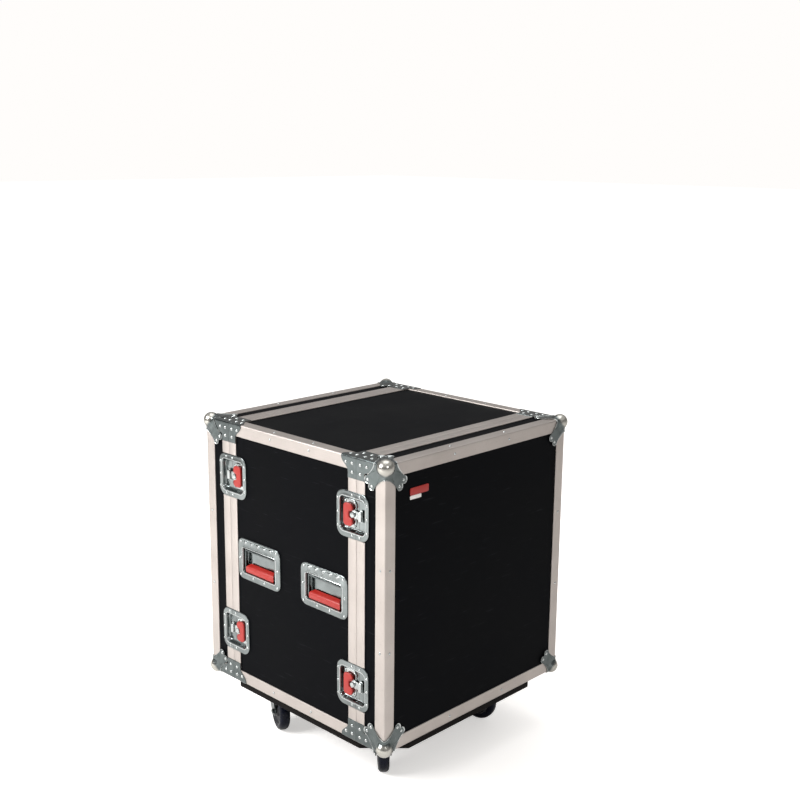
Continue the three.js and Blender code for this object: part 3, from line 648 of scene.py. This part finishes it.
BODY_REACH, LID_REACH, DISH_CORNER = 63, 38.5, 22
DISH_WALL = 1.2
DISH_PROFILE = ((0, -2), (0, -0.4), (0.35, 0.5), (1.2, 1.0), (2.4, 1.2), (6.5, 1.2), (7.6, 1.6),
                (8.8, 1.75), (9.9, 1.3), (10.6, 0.2), (11.6, -4), (12.6, -8), (13.6, -9.2),
                (15.5, -9.5))  # inset from the flange's outline, and height above the outer face
LIP_PROFILE = ((8.1, 1.3), (8.4, 1.9), (9, 2.2), (9.7, 2), (10.2, 1.2), (10.3, 0.6))
PLAN_RATE = 1.4  # the flange is wider above and below the pocket than beside it, by this much
POCKET_FLOOR = -9.6  # just below the dishes' floors, so that no gap shows under what lies on them
SPINDLE = -15
DISH_HEAD = (3.3, 1.7)  # radius and height of the dishes' rivet heads
BODY_RIVETS = ((58.3, -31.5), (58.3, 0), (58.3, 31.5), (12.7, -46), (12.7, 46))
LID_RIVETS = ((34, -31), (34, 0), (34, 31), (10.8, -46), (10.8, 46))
WING = ((-42, -27.5), (-14, -27.5), (-13, -8), (-25, -8), (-25, 8), (-13, 8), (-13, 25),
        (-42, 25))
WING_RADII = (9, 11, 7, 4.9, 4.9, 7, 11, 9)
HOOK = ((-34, -9), (4, -9), (4, -14), (13, -14), (13, 14), (4, 14), (4, 9), (-34, 9))
CLAW = ((3, -12), (13, -12), (13, 12), (3, 12))
KEEPER_RIB = ((19.5, -13), (22.5, -13), (22.5, 13), (19.5, 13))
BED = ((-48, -32), (-9, -32), (-9, 32), (-48, 32))  # the plate that carries the spindle
BED_TOP = -7.9
BED_RIVETS = ((-43, -26), (-43, 26), (-13, -26), (-13, 26))


def shell(grid, wall, ring=False):
    """A pressed sheet from its front: the back lies a wall's thickness behind it, along normals
    from the slopes of the grid's rows and columns. A pole's normals stand straight up."""
    across = np.gradient(grid, axis=1)
    if ring:
        across[:, [0, -1]] = (grid[:, [1]] - grid[:, [-2]]) / 2
    normal = np.cross(across, np.gradient(grid, axis=0))
    size = np.linalg.norm(normal, axis=-1, keepdims=True)
    normal = np.where(size > 1e-6, normal / np.maximum(size, 1e-9), Z)
    return closed_sheet(grid, grid - wall * normal, ring)


def dish_rows(reach, profile):
    """A rectangle with two round corners, open at the seam, drawn in and down along a profile of
    inset and height: one row for each step of the profile."""
    turn = np.linspace(0, math.pi / 2, 9)
    rows = []
    for inset, height in profile:
        far, half = reach - inset, LATCH_HALF - PLAN_RATE * inset
        radius = max(DISH_CORNER - inset, 7)
        low = np.column_stack([far - radius + radius * np.sin(turn),
                               radius - half - radius * np.cos(turn)])
        loop = np.concatenate([[(0.4, -half)], low, low[::-1] * (1, -1), [(0.4, half)]])
        rows.append(np.column_stack([loop, np.full(len(loop), height)]))
    return np.stack(rows)


def dish_half(reach):
    """Half of a dish: its rows, and last a point in the middle of the floor."""
    rows = dish_rows(reach, DISH_PROFILE)
    floor_point = np.full_like(rows[:1], (0.4, 0, DISH_PROFILE[-1][1]))
    return shell(np.concatenate([rows, floor_point]), DISH_WALL)


def lip_half(reach):
    """Half of the lip round a dish's pocket: a low ridge, closed below, drawn bright as a painted
    highlight.
    """
    rows = dish_rows(reach, LIP_PROFILE)
    return [rows, np.stack([rows[0], rows[-1]]), rows[:, 0], rows[:, -1]]


def plate(outline, low, high, edge, steps=4):
    """A flat plate on a closed outline, with rounded rims: near each face the outline moves in
    along its own normals by a quarter circle, and a flat outline closes the face."""
    ring = outline[:-1]
    tangent = np.roll(ring, -1, 0) - np.roll(ring, 1, 0)
    normal = np.column_stack([tangent[:, 1], -tangent[:, 0]])
    normal /= np.linalg.norm(normal, axis=1)[:, None]
    turn = np.linspace(0, math.pi / 2, steps)
    inset = np.concatenate([edge * (1 - np.sin(turn)), edge * (1 - np.cos(turn))])
    height = np.concatenate([low + edge * (1 - np.cos(turn)), high - edge * (1 - np.sin(turn))])
    loops = ring[None] - normal[None] * inset[:, None, None]
    rows = np.concatenate([loops, np.broadcast_to(height[:, None, None], loops[..., :1].shape)],
                          axis=-1)
    return [np.concatenate([rows, rows[:, :1]], axis=1), rows[0], rows[-1]]


def turned(profile, centre=(0, 0), steps=33):
    """A profile of radius and height turned about a local z axis."""
    radius, height = np.array(profile, float).T
    turn = np.linspace(0, 2 * math.pi, steps)
    return [np.stack([centre[0] + radius[:, None] * np.cos(turn),
                      centre[1] + radius[:, None] * np.sin(turn), height[:, None] + 0 * turn], -1)]


# Zinc plate of the dishes, streaked where the deep draw pulled it, and painted paler than the
# braces'.
DRAWN = 6  # width of a streak in mm
drawn, tree = new_finish("drawn_zinc_plated_dish")
where = add(tree, "ShaderNodeTexCoord").outputs["Object"]
pull = add(tree, "ShaderNodeMapping", {"Vector": where, "Scale": (1, 1, 0.12)})
streak = add(tree, "ShaderNodeTexNoise", {"Vector": pull.outputs[0], "Scale": 1 / (DRAWN * MM),
                                          "Detail": 4})
cloud = add(tree, "ShaderNodeTexNoise", {"Vector": where, "Scale": 30, "Detail": 4})
# Painted reflection: the same zinc as the braces', given a paler tone for the bright floor it
# mirrors.
tone = add(tree, "ShaderNodeMix", {0: cloud.outputs[0], 6: linear("#5d6464"),
                                   7: linear("#979d9d")}, data_type="RGBA")
dull = add(tree, "ShaderNodeMapRange", {"Value": streak.outputs[0], "From Min": 0.3,
                                        "From Max": 0.7, "To Min": 0.1, "To Max": 0.25})
bump = add(tree, "ShaderNodeBump", {"Height": cloud.outputs[0], "Strength": 0.2,
                                    "Distance": 1.5 * MM})
close_finish(tree, Base_Color=tone.outputs[2], Metallic=1.0, Roughness=dull.outputs[0],
             Normal=bump.outputs[0])

# Red moulded plastic: a slight orange peel, dust in the hollows and a soft gloss.
GRIME = 9  # size of a patch of grime in mm
red, tree = new_finish("red_moulded_nylon")
where = add(tree, "ShaderNodeTexCoord").outputs["Object"]
patch = add(tree, "ShaderNodeTexNoise", {"Vector": where, "Scale": 1 / (GRIME * MM), "Detail": 5})
peel = add(tree, "ShaderNodeTexNoise", {"Vector": where, "Scale": 900, "Detail": 2})
tone = add(tree, "ShaderNodeMix", {0: patch.outputs[0], 6: linear("#8c120c"),
                                   7: linear("#ab2319")}, data_type="RGBA")
dull = add(tree, "ShaderNodeMapRange", {"Value": patch.outputs[0], "To Min": 0.28,
                                        "To Max": 0.5})
bump = add(tree, "ShaderNodeBump", {"Height": peel.outputs[0], "Strength": 0.15,
                                    "Distance": 0.1 * MM})
close_finish(tree, Base_Color=tone.outputs[2], Roughness=dull.outputs[0], Normal=bump.outputs[0])

lid_dish = dish_half(LID_REACH)
lid_dish += plate(round_corners(KEEPER_RIB, 1), POCKET_FLOOR, -7.8, 0.4)
body_dish = [grid * (-1, 1, 1) for grid in dish_half(BODY_REACH)]
keeper_rivets = rivets([(*spot, DISH_WALL) for spot in LID_RIVETS], *DISH_HEAD)
# The pocket's lip goes with the rivets in bright nickel: a painted highlight along its rim.
keeper_rivets += lip_half(LID_REACH)
fittings = rivets([(*spot, DISH_WALL) for spot in BODY_RIVETS], *DISH_HEAD)
# Here too the lip is drawn in bright nickel as a painted highlight along the pocket's rim.
fittings = [grid * (-1, 1, 1) for grid in fittings + lip_half(BODY_REACH)]
fittings += plate(round_corners(BED, 9), POCKET_FLOOR, BED_TOP, 0.6)
fittings += rivets([(*spot, BED_TOP) for spot in BED_RIVETS], 3, 1.8)
wing = plate(round_corners(WING, WING_RADII, 7), -5, 0.6, 2, 5)
spindle = turned([(0, -9.2), (5, -9.2), (5, -6.6), (11, -6.4), (12, -5.9), (11.6, -5.2),
                  (6.6, -4.8), (6.4, -1.2), (5.6, -0.2), (3.4, 0.3), (0, 0.4)], (SPINDLE, 0))
hook = plate(round_corners(HOOK, 1.5), -7.4, -5.6, 0.4)
hook += plate(round_corners(CLAW, 3), -6, -0.8, 2.2, 5)
keepers = {"front": [], "rear": []}
keeper_heads = {"front": [], "rear": []}
for side_name, side in SIDES:
    for end_name, end in ENDS:
        for level_name, rise in LEVELS:
            spot = np.array([side * HALF_W, end * SEAM, MIDDLE + rise * LATCH_RISE])
            axes = (spot, end * Y, np.cross(side * X, end * Y), side * X)
            tag = f"{side_name}_{end_name}_{level_name}"
            keepers[end_name] += placed(lid_dish, *axes)
            keeper_heads[end_name] += placed(keeper_rivets, *axes)
            piece(f"latch_fittings_{tag}", placed(fittings, *axes), nickel, "case",
                  "bright_zinc", f"latch_dish_{tag}")
            piece(f"latch_body_dish_{tag}", placed(body_dish, *axes), drawn, "case",
                  "bright_zinc", f"latch_dish_{tag}")
            piece(f"latch_red_wing_{tag}", placed(wing, *axes), red, f"wing_{tag}",
                  "red_plastic", f"latch_wing_{tag}", sharp=50)
            piece(f"latch_spindle_{tag}", placed(spindle, *axes), nickel, f"wing_{tag}",
                  "bright_zinc", f"latch_wing_{tag}")
            piece(f"latch_claw_{tag}", placed(hook, *axes), nickel, f"hook_{tag}", "bright_zinc",
                  f"latch_hook_{tag}", sharp=50)
for end_name, _ in ENDS:
    piece(f"{end_name}_lid_latch_keepers", keepers[end_name], drawn, f"{end_name}_lid",
          "bright_zinc", f"{end_name}_lid_trim")
    piece(f"{end_name}_lid_keeper_rivets", keeper_heads[end_name], nickel, f"{end_name}_lid",
          "bright_zinc")

# ---- Handles --------------------------------------------------------------------------------
# Recessed sprung handles: a deep-drawn zinc dish with a housing for the spring above its pocket,
# and a steel bail on a hinge pin that carries a faceted red grip.

DISH_ROWS = (  # half width, low, high, corner radius, height above the outer face
    (78.5, -52, 52, 18, -2.0), (78.5, -52, 52, 18, -0.4), (78.1, -51.6, 51.6, 17.7, 0.5),
    (77.3, -50.8, 50.8, 17, 1.0), (76.1, -49.6, 49.6, 16, 1.2), (65.5, -39.2, 31.4, 9.5, 1.2),
    (64.4, -38.1, 30.3, 8.6, 1.6), (63.2, -36.9, 29.1, 7.6, 1.75), (62, -35.7, 27.9, 6.6, 1.3),
    (61.2, -34.9, 27.1, 6, 0.2), (60.4, -34.1, 26.3, 5.4, -4), (59.8, -33.4, 25.7, 5, -13),
    (58.6, -32.2, 24.5, 4, -14.4), (57, -30.6, 22.9, 3, -14.8))
TOP_RIVETS = tuple((spot, 43) for spot in (-66, -47, -23.5, 0, 23.5, 47, 66))
HOUSING_HALF, HOUSING_SPOT, HOUSING_TALL = 57, 41, 6.5  # half length, middle, half height
SPRING_STEP = 23.5  # spacing of the housing's pinches
PIN_SPOT = (21, -6)  # the hinge pin's height above the handle's middle, and its depth
ARM_SPOT = 56
LOW_RIVETS = ((-69, -42.5), (-21, -43), (21, -43), (69, -42.5), (-70.5, 0), (70.5, 0))
LIP_ROWS = (  # as for the dish
    (64.5, -38.2, 30.4, 8.8, 1.3), (64.2, -37.9, 30.1, 8.5, 2), (63.3, -37, 29.2, 7.7, 2.5),
    (62.4, -36.1, 28.3, 6.9, 2.4), (61.8, -35.5, 27.7, 6.4, 1.6), (61.7, -35.4, 27.6, 6.3, 0.8))
GRIP_ROWS = (  # as for the dish
    (43, -30.5, -15, 2.5, -13.4), (44.5, -32, -13.6, 3, -12.6), (45, -32.6, -13, 3, -11.6),
    (50.5, -33.2, -16.4, 3, -3.6), (52.4, -33.4, -18.4, 3, -1.4), (52, -32.8, -19.4, 2.6, -0.6),
    (50.5, -31.4, -21, 2, -0.2))


def stacked(rows, steps=5):
    """Rounded rectangles one above the other: each row gives its half width, low and high edge,
    corner radius and height."""
    return np.stack([
        np.column_stack([loop, np.full(len(loop), height)])
        for half, low, high, radius, height in rows
        for loop in [round_corners([(-half, low), (half, low), (half, high), (-half, high)],
                                   radius, steps)]])


def spring_housing():
    """A long swelling pressed out of the flange: a half ellipse across, eased off at its ends,
    and pinched between the rivets by a sine wave along it."""
    along = np.linspace(-HOUSING_HALF, HOUSING_HALF, 115)
    over = np.linspace(-1, 1, 11)[:, None]
    pinch = 1 - 0.75 * np.sin(math.pi * along / SPRING_STEP) ** 2 * (np.abs(along) < 47)
    height = 1.0 + 1.9 * np.sqrt(1 - over ** 4) * pinch * ease(np.abs(along), 50, HOUSING_HALF)
    level = np.broadcast_to(along, height.shape)
    front = np.stack([level, HOUSING_SPOT + HOUSING_TALL * over + 0 * along, height], -1)
    return closed_sheet(front, front * (1, 1, 0) + (0, 0, 0.4))


dish = np.concatenate([stacked(DISH_ROWS), np.full((1, 21, 3), (0, -4, -14.8))])
handle_dish = shell(dish, DISH_WALL, ring=True) + spring_housing()
handle_heads = rivets([(*spot, 1.6) for spot in TOP_RIVETS], 3.6, 1.9)
handle_heads += rivets([(*spot, 1.2) for spot in LOW_RIVETS], 3.5, 1.8)
# The pocket's lip goes with the rivets in bright nickel: a painted highlight along its rim.
lip = stacked(LIP_ROWS)
handle_heads += [lip, np.stack([lip[0], lip[-1]])]
grip_rows = stacked(GRIP_ROWS)
grip = [grip_rows, grip_rows[0, :-1], grip_rows[-1, :-1]]
arm = plate(round_corners([(-30, -9), (18, -9), (24, -6), (24, -3), (20, -2.6), (-30, -2.6)],
                          0.8), -2, 2, 0.6)
bail = turned([(0, -59), (2.6, -59), (3, -58.6), (3, 58.6), (2.6, 59), (0, 59)], PIN_SPOT,
              17)
bail = placed(bail, (0, 0, 0), Y, Z, X)
for way in (-1, 1):
    bail += placed(arm, (way * ARM_SPOT, 0, 0), Y, Z, X)
pull_low, pull_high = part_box("handle_dish_left_rear")
HANDLE_SPREAD = (pull_low.y + pull_high.y) / 2 / MM
for side_name, side in SIDES:
    for end_name, end in ENDS:
        spot = np.array([side * HALF_W, end * HANDLE_SPREAD, MIDDLE])
        axes = (spot, side * Y, Z, side * X)
        tag = f"{side_name}_{end_name}"
        piece(f"handle_deep_dish_{tag}", placed(handle_dish, *axes), drawn, "case", "bright_zinc",
              f"handle_dish_{tag}")
        piece(f"handle_rivets_{tag}", placed(handle_heads, *axes), nickel, "case", "bright_zinc")
        piece(f"handle_red_grip_{tag}", placed(grip, *axes), red, f"grip_{tag}", "red_plastic",
              f"handle_grip_{tag}", sharp=28)
        piece(f"handle_bail_{tag}", placed(bail, *axes), zinc, f"grip_{tag}", "bright_zinc",
              f"handle_grip_{tag}")

# ---- Lid badge ------------------------------------------------------------------------------
# A small plain enamelled plate on the front lid, near its upper left corner: red above a pale
# band, with no lettering.

BADGE_SPOT = np.array([-207, -(HALF_D - PANEL_DROP), TOP - 79])
badge_axes = (BADGE_SPOT, X, Z, -Y)
badge = plate(round_corners([(-29, -4), (29, -4), (29, 13), (-29, 13)], 3), -0.2, 1.6, 0.6)
band = plate(round_corners([(-29, -13), (6, -13), (6, -4.5), (-29, -4.5)], 2), -0.2, 1.4, 0.6)
piece("front_lid_badge", placed(badge, *badge_axes), red, "front_lid", "red_plastic")

# Pale enamel of the badge's band: white, with a few grey rubs.
pale, tree = new_finish("white_enamelled_badge")
where = add(tree, "ShaderNodeTexCoord").outputs["Object"]
rub = add(tree, "ShaderNodeTexNoise", {"Vector": where, "Scale": 120, "Detail": 4})
tone = add(tree, "ShaderNodeMix", {0: rub.outputs[0], 6: linear("#f1eeea"),
                                   7: linear("#cfccc8")}, data_type="RGBA")
close_finish(tree, Base_Color=tone.outputs[2], Roughness=0.35)
piece("front_lid_badge_band", placed(band, *badge_axes), pale, "front_lid", "red_plastic")

# ---- Caster board ---------------------------------------------------------------------------
# A sheet of 23 mm plywood with cropped corners, stained black, screwed under the case. Four
# zinc-plated caster plates are bolted to it, each with the fixed race of its swivel.

BOARD_LOW, BOARD_HIGH = BASE - 25, BASE - 2
BOARD_HALF, BOARD_CROP = 298, 80
PLATE_HALF, BOLT_SPOT = 48, 37  # half a caster plate, and its bolts from its middle

# Black-stained plywood: a streaky stain on the faces, and plies that show on the edges.
PLY = 1.5  # thickness of one ply in mm
stained, tree = new_finish("black_stained_plywood")
where = add(tree, "ShaderNodeTexCoord").outputs["Object"]
split = add(tree, "ShaderNodeSeparateXYZ", {"Vector": where})
ply = add(tree, "ShaderNodeMath", {0: split.outputs[2], 1: math.pi / (PLY * MM)},
          operation="MULTIPLY")
wave = add(tree, "ShaderNodeMath", {0: ply.outputs[0]}, operation="SINE")
layer = add(tree, "ShaderNodeMapRange", {"Value": wave.outputs[0], "From Min": -0.3,
                                         "From Max": 0.3})
pull = add(tree, "ShaderNodeMapping", {"Vector": where, "Scale": (3, 60, 60)})
streak = add(tree, "ShaderNodeTexNoise", {"Vector": pull.outputs[0], "Scale": 1.5, "Detail": 6})
tone = add(tree, "ShaderNodeMix", {0: layer.outputs[0], 6: linear("#070504"),
                                   7: linear("#0e0a08")}, data_type="RGBA")
paint = add(tree, "ShaderNodeMix", {0: streak.outputs[0], 6: tone.outputs[2],
                                    7: linear("#0a0706")}, data_type="RGBA")
bump = add(tree, "ShaderNodeBump", {"Height": streak.outputs[0], "Strength": 0.25,
                                    "Distance": 0.3 * MM})
close_finish(tree, Base_Color=paint.outputs[2], Roughness=0.6, Specular_IOR_Level=0.08,
             Normal=bump.outputs[0])

crop = BOARD_HALF - BOARD_CROP
octagon = [(-crop, -BOARD_HALF), (crop, -BOARD_HALF), (BOARD_HALF, -crop), (BOARD_HALF, crop),
           (crop, BOARD_HALF), (-crop, BOARD_HALF), (-BOARD_HALF, crop), (-BOARD_HALF, -crop)]
piece("plywood_caster_board", plate(round_corners(octagon, 4), BOARD_LOW, BOARD_HIGH, 1), stained,
      "case", "black_board", "caster_board")
joints = {joint["name"]: joint for joint in frame["joints"]}
caster_plates = []
square = [(-PLATE_HALF, -PLATE_HALF), (PLATE_HALF, -PLATE_HALF), (PLATE_HALF, PLATE_HALF),
          (-PLATE_HALF, PLATE_HALF)]
bolt = [(0, BOARD_LOW - 9), (4.6, BOARD_LOW - 9), (6, BOARD_LOW - 8), (6, BOARD_LOW - 4.6),
        (8.5, BOARD_LOW - 4.6), (8.5, BOARD_LOW - 3.8), (0, BOARD_LOW - 3.8)]
race = [(0, BOARD_LOW - 9), (24, BOARD_LOW - 9), (26.5, BOARD_LOW - 8.6), (28, BOARD_LOW - 7),
        (28, BOARD_LOW - 5), (31, BOARD_LOW - 3.8), (0, BOARD_LOW - 3.8)]
for side_name, _ in SIDES:
    for end_name, _ in ENDS:
        spot = np.array(joints[f"caster_swivel_{side_name}_{end_name}"]["pos_m"]) / MM * (1, 1, 0)
        fixed = plate(round_corners(square, 8), BOARD_LOW - 4, BOARD_LOW + 0.2, 0.8)
        fixed += turned(race)
        for across in (-BOLT_SPOT, BOLT_SPOT):
            for along in (-BOLT_SPOT, BOLT_SPOT):
                fixed += turned(bolt, (across, along), 7)
        caster_plates += placed(fixed, spot, X, Y, Z)
piece("caster_top_plates", caster_plates, zinc, "case", "bright_zinc", "caster_board")

# ---- Casters --------------------------------------------------------------------------------
# Swivel casters: a pressed zinc fork with its race, an axle bolt, a nylon hub and a moulded
# polyurethane tyre, 100 mm across. The wheel trails behind the swivel.

WHEEL_RADIUS, WHEEL_HALF, TREAD = 50, 13.5, 10.5
LEG_IN, LEG_OUT = 16.5, 19.5
RACE_TOP = BOARD_LOW - 9.3

# Polyurethane tyre: blue-black, glossy where it has been polished by rolling, with fine scuffs.
SCUFF = 3  # length of a scuff in mm
tyre_skin, tree = new_finish("blue_black_polyurethane")
where = add(tree, "ShaderNodeTexCoord").outputs["Object"]
patch = add(tree, "ShaderNodeTexNoise", {"Vector": where, "Scale": 30, "Detail": 5})
scuff = add(tree, "ShaderNodeTexNoise", {"Vector": where, "Scale": 1 / (SCUFF * MM), "Detail": 4})
tone = add(tree, "ShaderNodeMix", {0: patch.outputs[0], 6: linear("#03050c"),
                                   7: linear("#080d20")}, data_type="RGBA")
dull = add(tree, "ShaderNodeMapRange", {"Value": scuff.outputs[0], "From Min": 0.4,
                                        "From Max": 0.7, "To Min": 0.2, "To Max": 0.42})
bump = add(tree, "ShaderNodeBump", {"Height": scuff.outputs[0], "Strength": 0.1,
                                    "Distance": 0.2 * MM})
close_finish(tree, Base_Color=tone.outputs[2], Roughness=dull.outputs[0], Normal=bump.outputs[0],
             Specular_IOR_Level=0.16)

# Glass-filled nylon hub: dark grey, with the faint swirl of its filler.
hub_skin, tree = new_finish("dark_grey_filled_nylon")
where = add(tree, "ShaderNodeTexCoord").outputs["Object"]
swirl = add(tree, "ShaderNodeTexNoise", {"Vector": where, "Scale": 80, "Detail": 5,
                                         "Distortion": 1.5})
tone = add(tree, "ShaderNodeMix", {0: swirl.outputs[0], 6: linear("#2a2a2c"),
                                   7: linear("#444446")}, data_type="RGBA")
close_finish(tree, Base_Color=tone.outputs[2], Roughness=0.45)

turn = np.linspace(0, math.pi / 2, 9)
shoulder = np.column_stack([WHEEL_RADIUS - TREAD + TREAD * np.sin(turn),
                            TREAD - WHEEL_HALF - TREAD * np.cos(turn)])
tyre_half = np.concatenate([[(34, -WHEEL_HALF + 3), (35.5, -WHEEL_HALF + 0.6),
                             (37, -WHEEL_HALF)], shoulder])
tyre = turned([*tyre_half, *(tyre_half[::-1] * (1, -1)), tyre_half[0]], steps=65)
hub_half = np.array([(7, -WHEEL_HALF), (12, -WHEEL_HALF), (13.5, -WHEEL_HALF + 1), (15, -7),
                     (17, -5.5), (29, -5.5), (31.5, -7), (33, -WHEEL_HALF + 1.4),
                     (34.6, -WHEEL_HALF + 1.4), (34.6, -8)])
hub = turned([*hub_half, *(hub_half[::-1] * (1, -1)), hub_half[0]], steps=65)
leg = plate(round_corners([(-21, RACE_TOP - 5), (24, RACE_TOP - 5), (53, 56), (50, 40), (30, 40)],
                          (5, 8, 9, 9, 9)), 0, LEG_OUT - LEG_IN, 0.8)
crown = plate(round_corners([(-23, -LEG_OUT), (27, -LEG_OUT), (27, LEG_OUT), (-23, LEG_OUT)], 7),
              RACE_TOP - 8, RACE_TOP - 4, 1.4)
crown += turned([(0, RACE_TOP - 8), (20, RACE_TOP - 8), (25, RACE_TOP - 6), (26, RACE_TOP - 3),
                 (26, RACE_TOP - 1), (25, RACE_TOP), (0, RACE_TOP)])
axle = [(0, -24), (3.5, -24), (5.5, -23), (5.5, -LEG_OUT - 0.6), (9, -LEG_OUT - 0.6),
        (9, -LEG_OUT + 0.1), (6, -LEG_OUT + 0.1)]
axle = turned([*axle, *((radius, -along) for radius, along in axle[::-1])], steps=25)
for side_name, _ in SIDES:
    for end_name, _ in ENDS:
        tag = f"{side_name}_{end_name}"
        swivel = np.array(joints[f"caster_swivel_{tag}"]["pos_m"]) / MM * (1, 1, 0)
        wheel = np.array(joints[f"wheel_roll_{tag}"]["pos_m"]) / MM
        roll = np.array(joints[f"wheel_roll_{tag}"]["axis"])
        trail = np.cross(roll, Z)
        fork = placed(crown, swivel, trail, roll, Z)
        for inner in (LEG_IN, -LEG_OUT):
            fork += placed(leg, swivel + inner * roll, trail, Z, roll)
        fork += placed(axle, wheel, trail, Z, roll)
        piece(f"pressed_fork_{tag}", fork, zinc, f"fork_{tag}", "bright_zinc",
              f"caster_fork_{tag}")
        piece(f"caster_tyre_{tag}", placed(tyre, wheel, trail, Z, roll), tyre_skin,
              f"wheel_{tag}", "wheel_rubber", f"caster_wheel_{tag}")
        piece(f"caster_hub_{tag}", placed(hub, wheel, trail, Z, roll), hub_skin,
              f"wheel_{tag}", "wheel_rubber", f"caster_wheel_{tag}")

# ---- Rack frame -----------------------------------------------------------------------------
# A welded frame of 2 mm folded steel, powder coated black, floats inside the case on eight
# rubber mounts. The drilled rails on its four uprights are shown as the CAD solids they are.

# Black powder coat: a fine orange peel, with bare wear where gear has slid on the rails.
PEEL = 1.2  # size of a dimple in mm
coat, tree = new_finish("black_powder_coat")
where = add(tree, "ShaderNodeTexCoord").outputs["Object"]
peel = add(tree, "ShaderNodeTexNoise", {"Vector": where, "Scale": 1 / (PEEL * MM), "Detail": 2})
cloud = add(tree, "ShaderNodeTexNoise", {"Vector": where, "Scale": 20, "Detail": 4})
tone = add(tree, "ShaderNodeMix", {0: cloud.outputs[0], 6: linear("#111214"),
                                   7: linear("#1e1f21")}, data_type="RGBA")
bump = add(tree, "ShaderNodeBump", {"Height": peel.outputs[0], "Strength": 0.3,
                                    "Distance": 0.15 * MM})
close_finish(tree, Base_Color=tone.outputs[2], Roughness=0.42, Normal=bump.outputs[0])
for side_name, _ in SIDES:
    for end_name, _ in ENDS:
        frame["nodes"][f"rack_rail_{side_name}_{end_name}"].material_slots[0].material = coat

# Natural rubber of the mounts: black, matt, a little dusty.
rubber, tree = new_finish("black_natural_rubber")
where = add(tree, "ShaderNodeTexCoord").outputs["Object"]
dust = add(tree, "ShaderNodeTexNoise", {"Vector": where, "Scale": 90, "Detail": 5})
tone = add(tree, "ShaderNodeMix", {0: dust.outputs[0], 6: linear("#0c0c0d"),
                                   7: linear("#232323")}, data_type="RGBA")
close_finish(tree, Base_Color=tone.outputs[2], Roughness=0.8)

MEMBER, STEEL = 30, 2  # width of a member, and thickness of its steel
rail_low, rail_high = (np.array(corner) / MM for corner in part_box("rack_rail_right_rear"))
FRAME_HALF_W = rail_high[0] + 2.3
FRAME_HALF_D = rail_high[1]
FRAME_LOW = rail_low[2] - 4.6
FRAME_HALF_H = MIDDLE - FRAME_LOW
MOUNT_SPOT, MOUNT_LEVEL = FRAME_HALF_D - 17, FRAME_HALF_H - 45
bars = []
for _, side in SIDES:
    for _, rise in LEVELS:
        line = np.array([side * FRAME_HALF_W, 0, MIDDLE + rise * FRAME_HALF_H])
        edge = square_end(FRAME_HALF_D)
        bars += placed(folded_strip(square_end(-FRAME_HALF_D), edge, MEMBER, 4, 0, STEEL),
                       line, Y, side * X, rise * Z)
    for _, end in ENDS:
        high = FRAME_HALF_H - MEMBER + 2
        bar = round_corners([(FRAME_HALF_D - MEMBER, -high), (FRAME_HALF_D - 0.1, -high),
                             (FRAME_HALF_D - 0.1, high), (FRAME_HALF_D - MEMBER, high)], 0.8)
        bars += placed(plate(bar, -STEEL, -0.1, 0.5), (side * FRAME_HALF_W, 0, MIDDLE),
                       end * Y, Z, side * X)
for _, rise in LEVELS:
    for _, end in ENDS:
        wide = FRAME_HALF_W - MEMBER + 2
        bar = round_corners([(-wide, FRAME_HALF_D - MEMBER), (wide, FRAME_HALF_D - MEMBER),
                             (wide, FRAME_HALF_D - 0.1), (-wide, FRAME_HALF_D - 0.1)], 0.8)
        bars += placed(plate(bar, -STEEL, -0.1, 0.5), (0, 0, MIDDLE + rise * FRAME_HALF_H),
                       X, end * Y, rise * Z)
piece("welded_rack_frame", bars, coat, "case", "black_steel", "inner_rack_frame")

MOUNT_STOP = 11.6  # the mounts' outer ends, below the angles' outer faces
mount_end = HALF_W - MOUNT_STOP - FRAME_HALF_W
mount = [(0, 0), (14, 0), (15, 1), (15, 8), (12.5, 11), (11.5, mount_end / 2),
         (12.5, mount_end - 11), (15, mount_end - 8), (15, mount_end - 1), (14, mount_end),
         (0, mount_end)]
mounts = []
for _, side in SIDES:
    for _, end in ENDS:
        for _, rise in LEVELS:
            spot = (side * FRAME_HALF_W, end * MOUNT_SPOT, MIDDLE + rise * MOUNT_LEVEL)
            mounts += placed(turned(mount), spot, Y, Z, side * X)
piece("rubber_mounts", mounts, rubber, "case", "wheel_rubber", "inner_rack_frame")
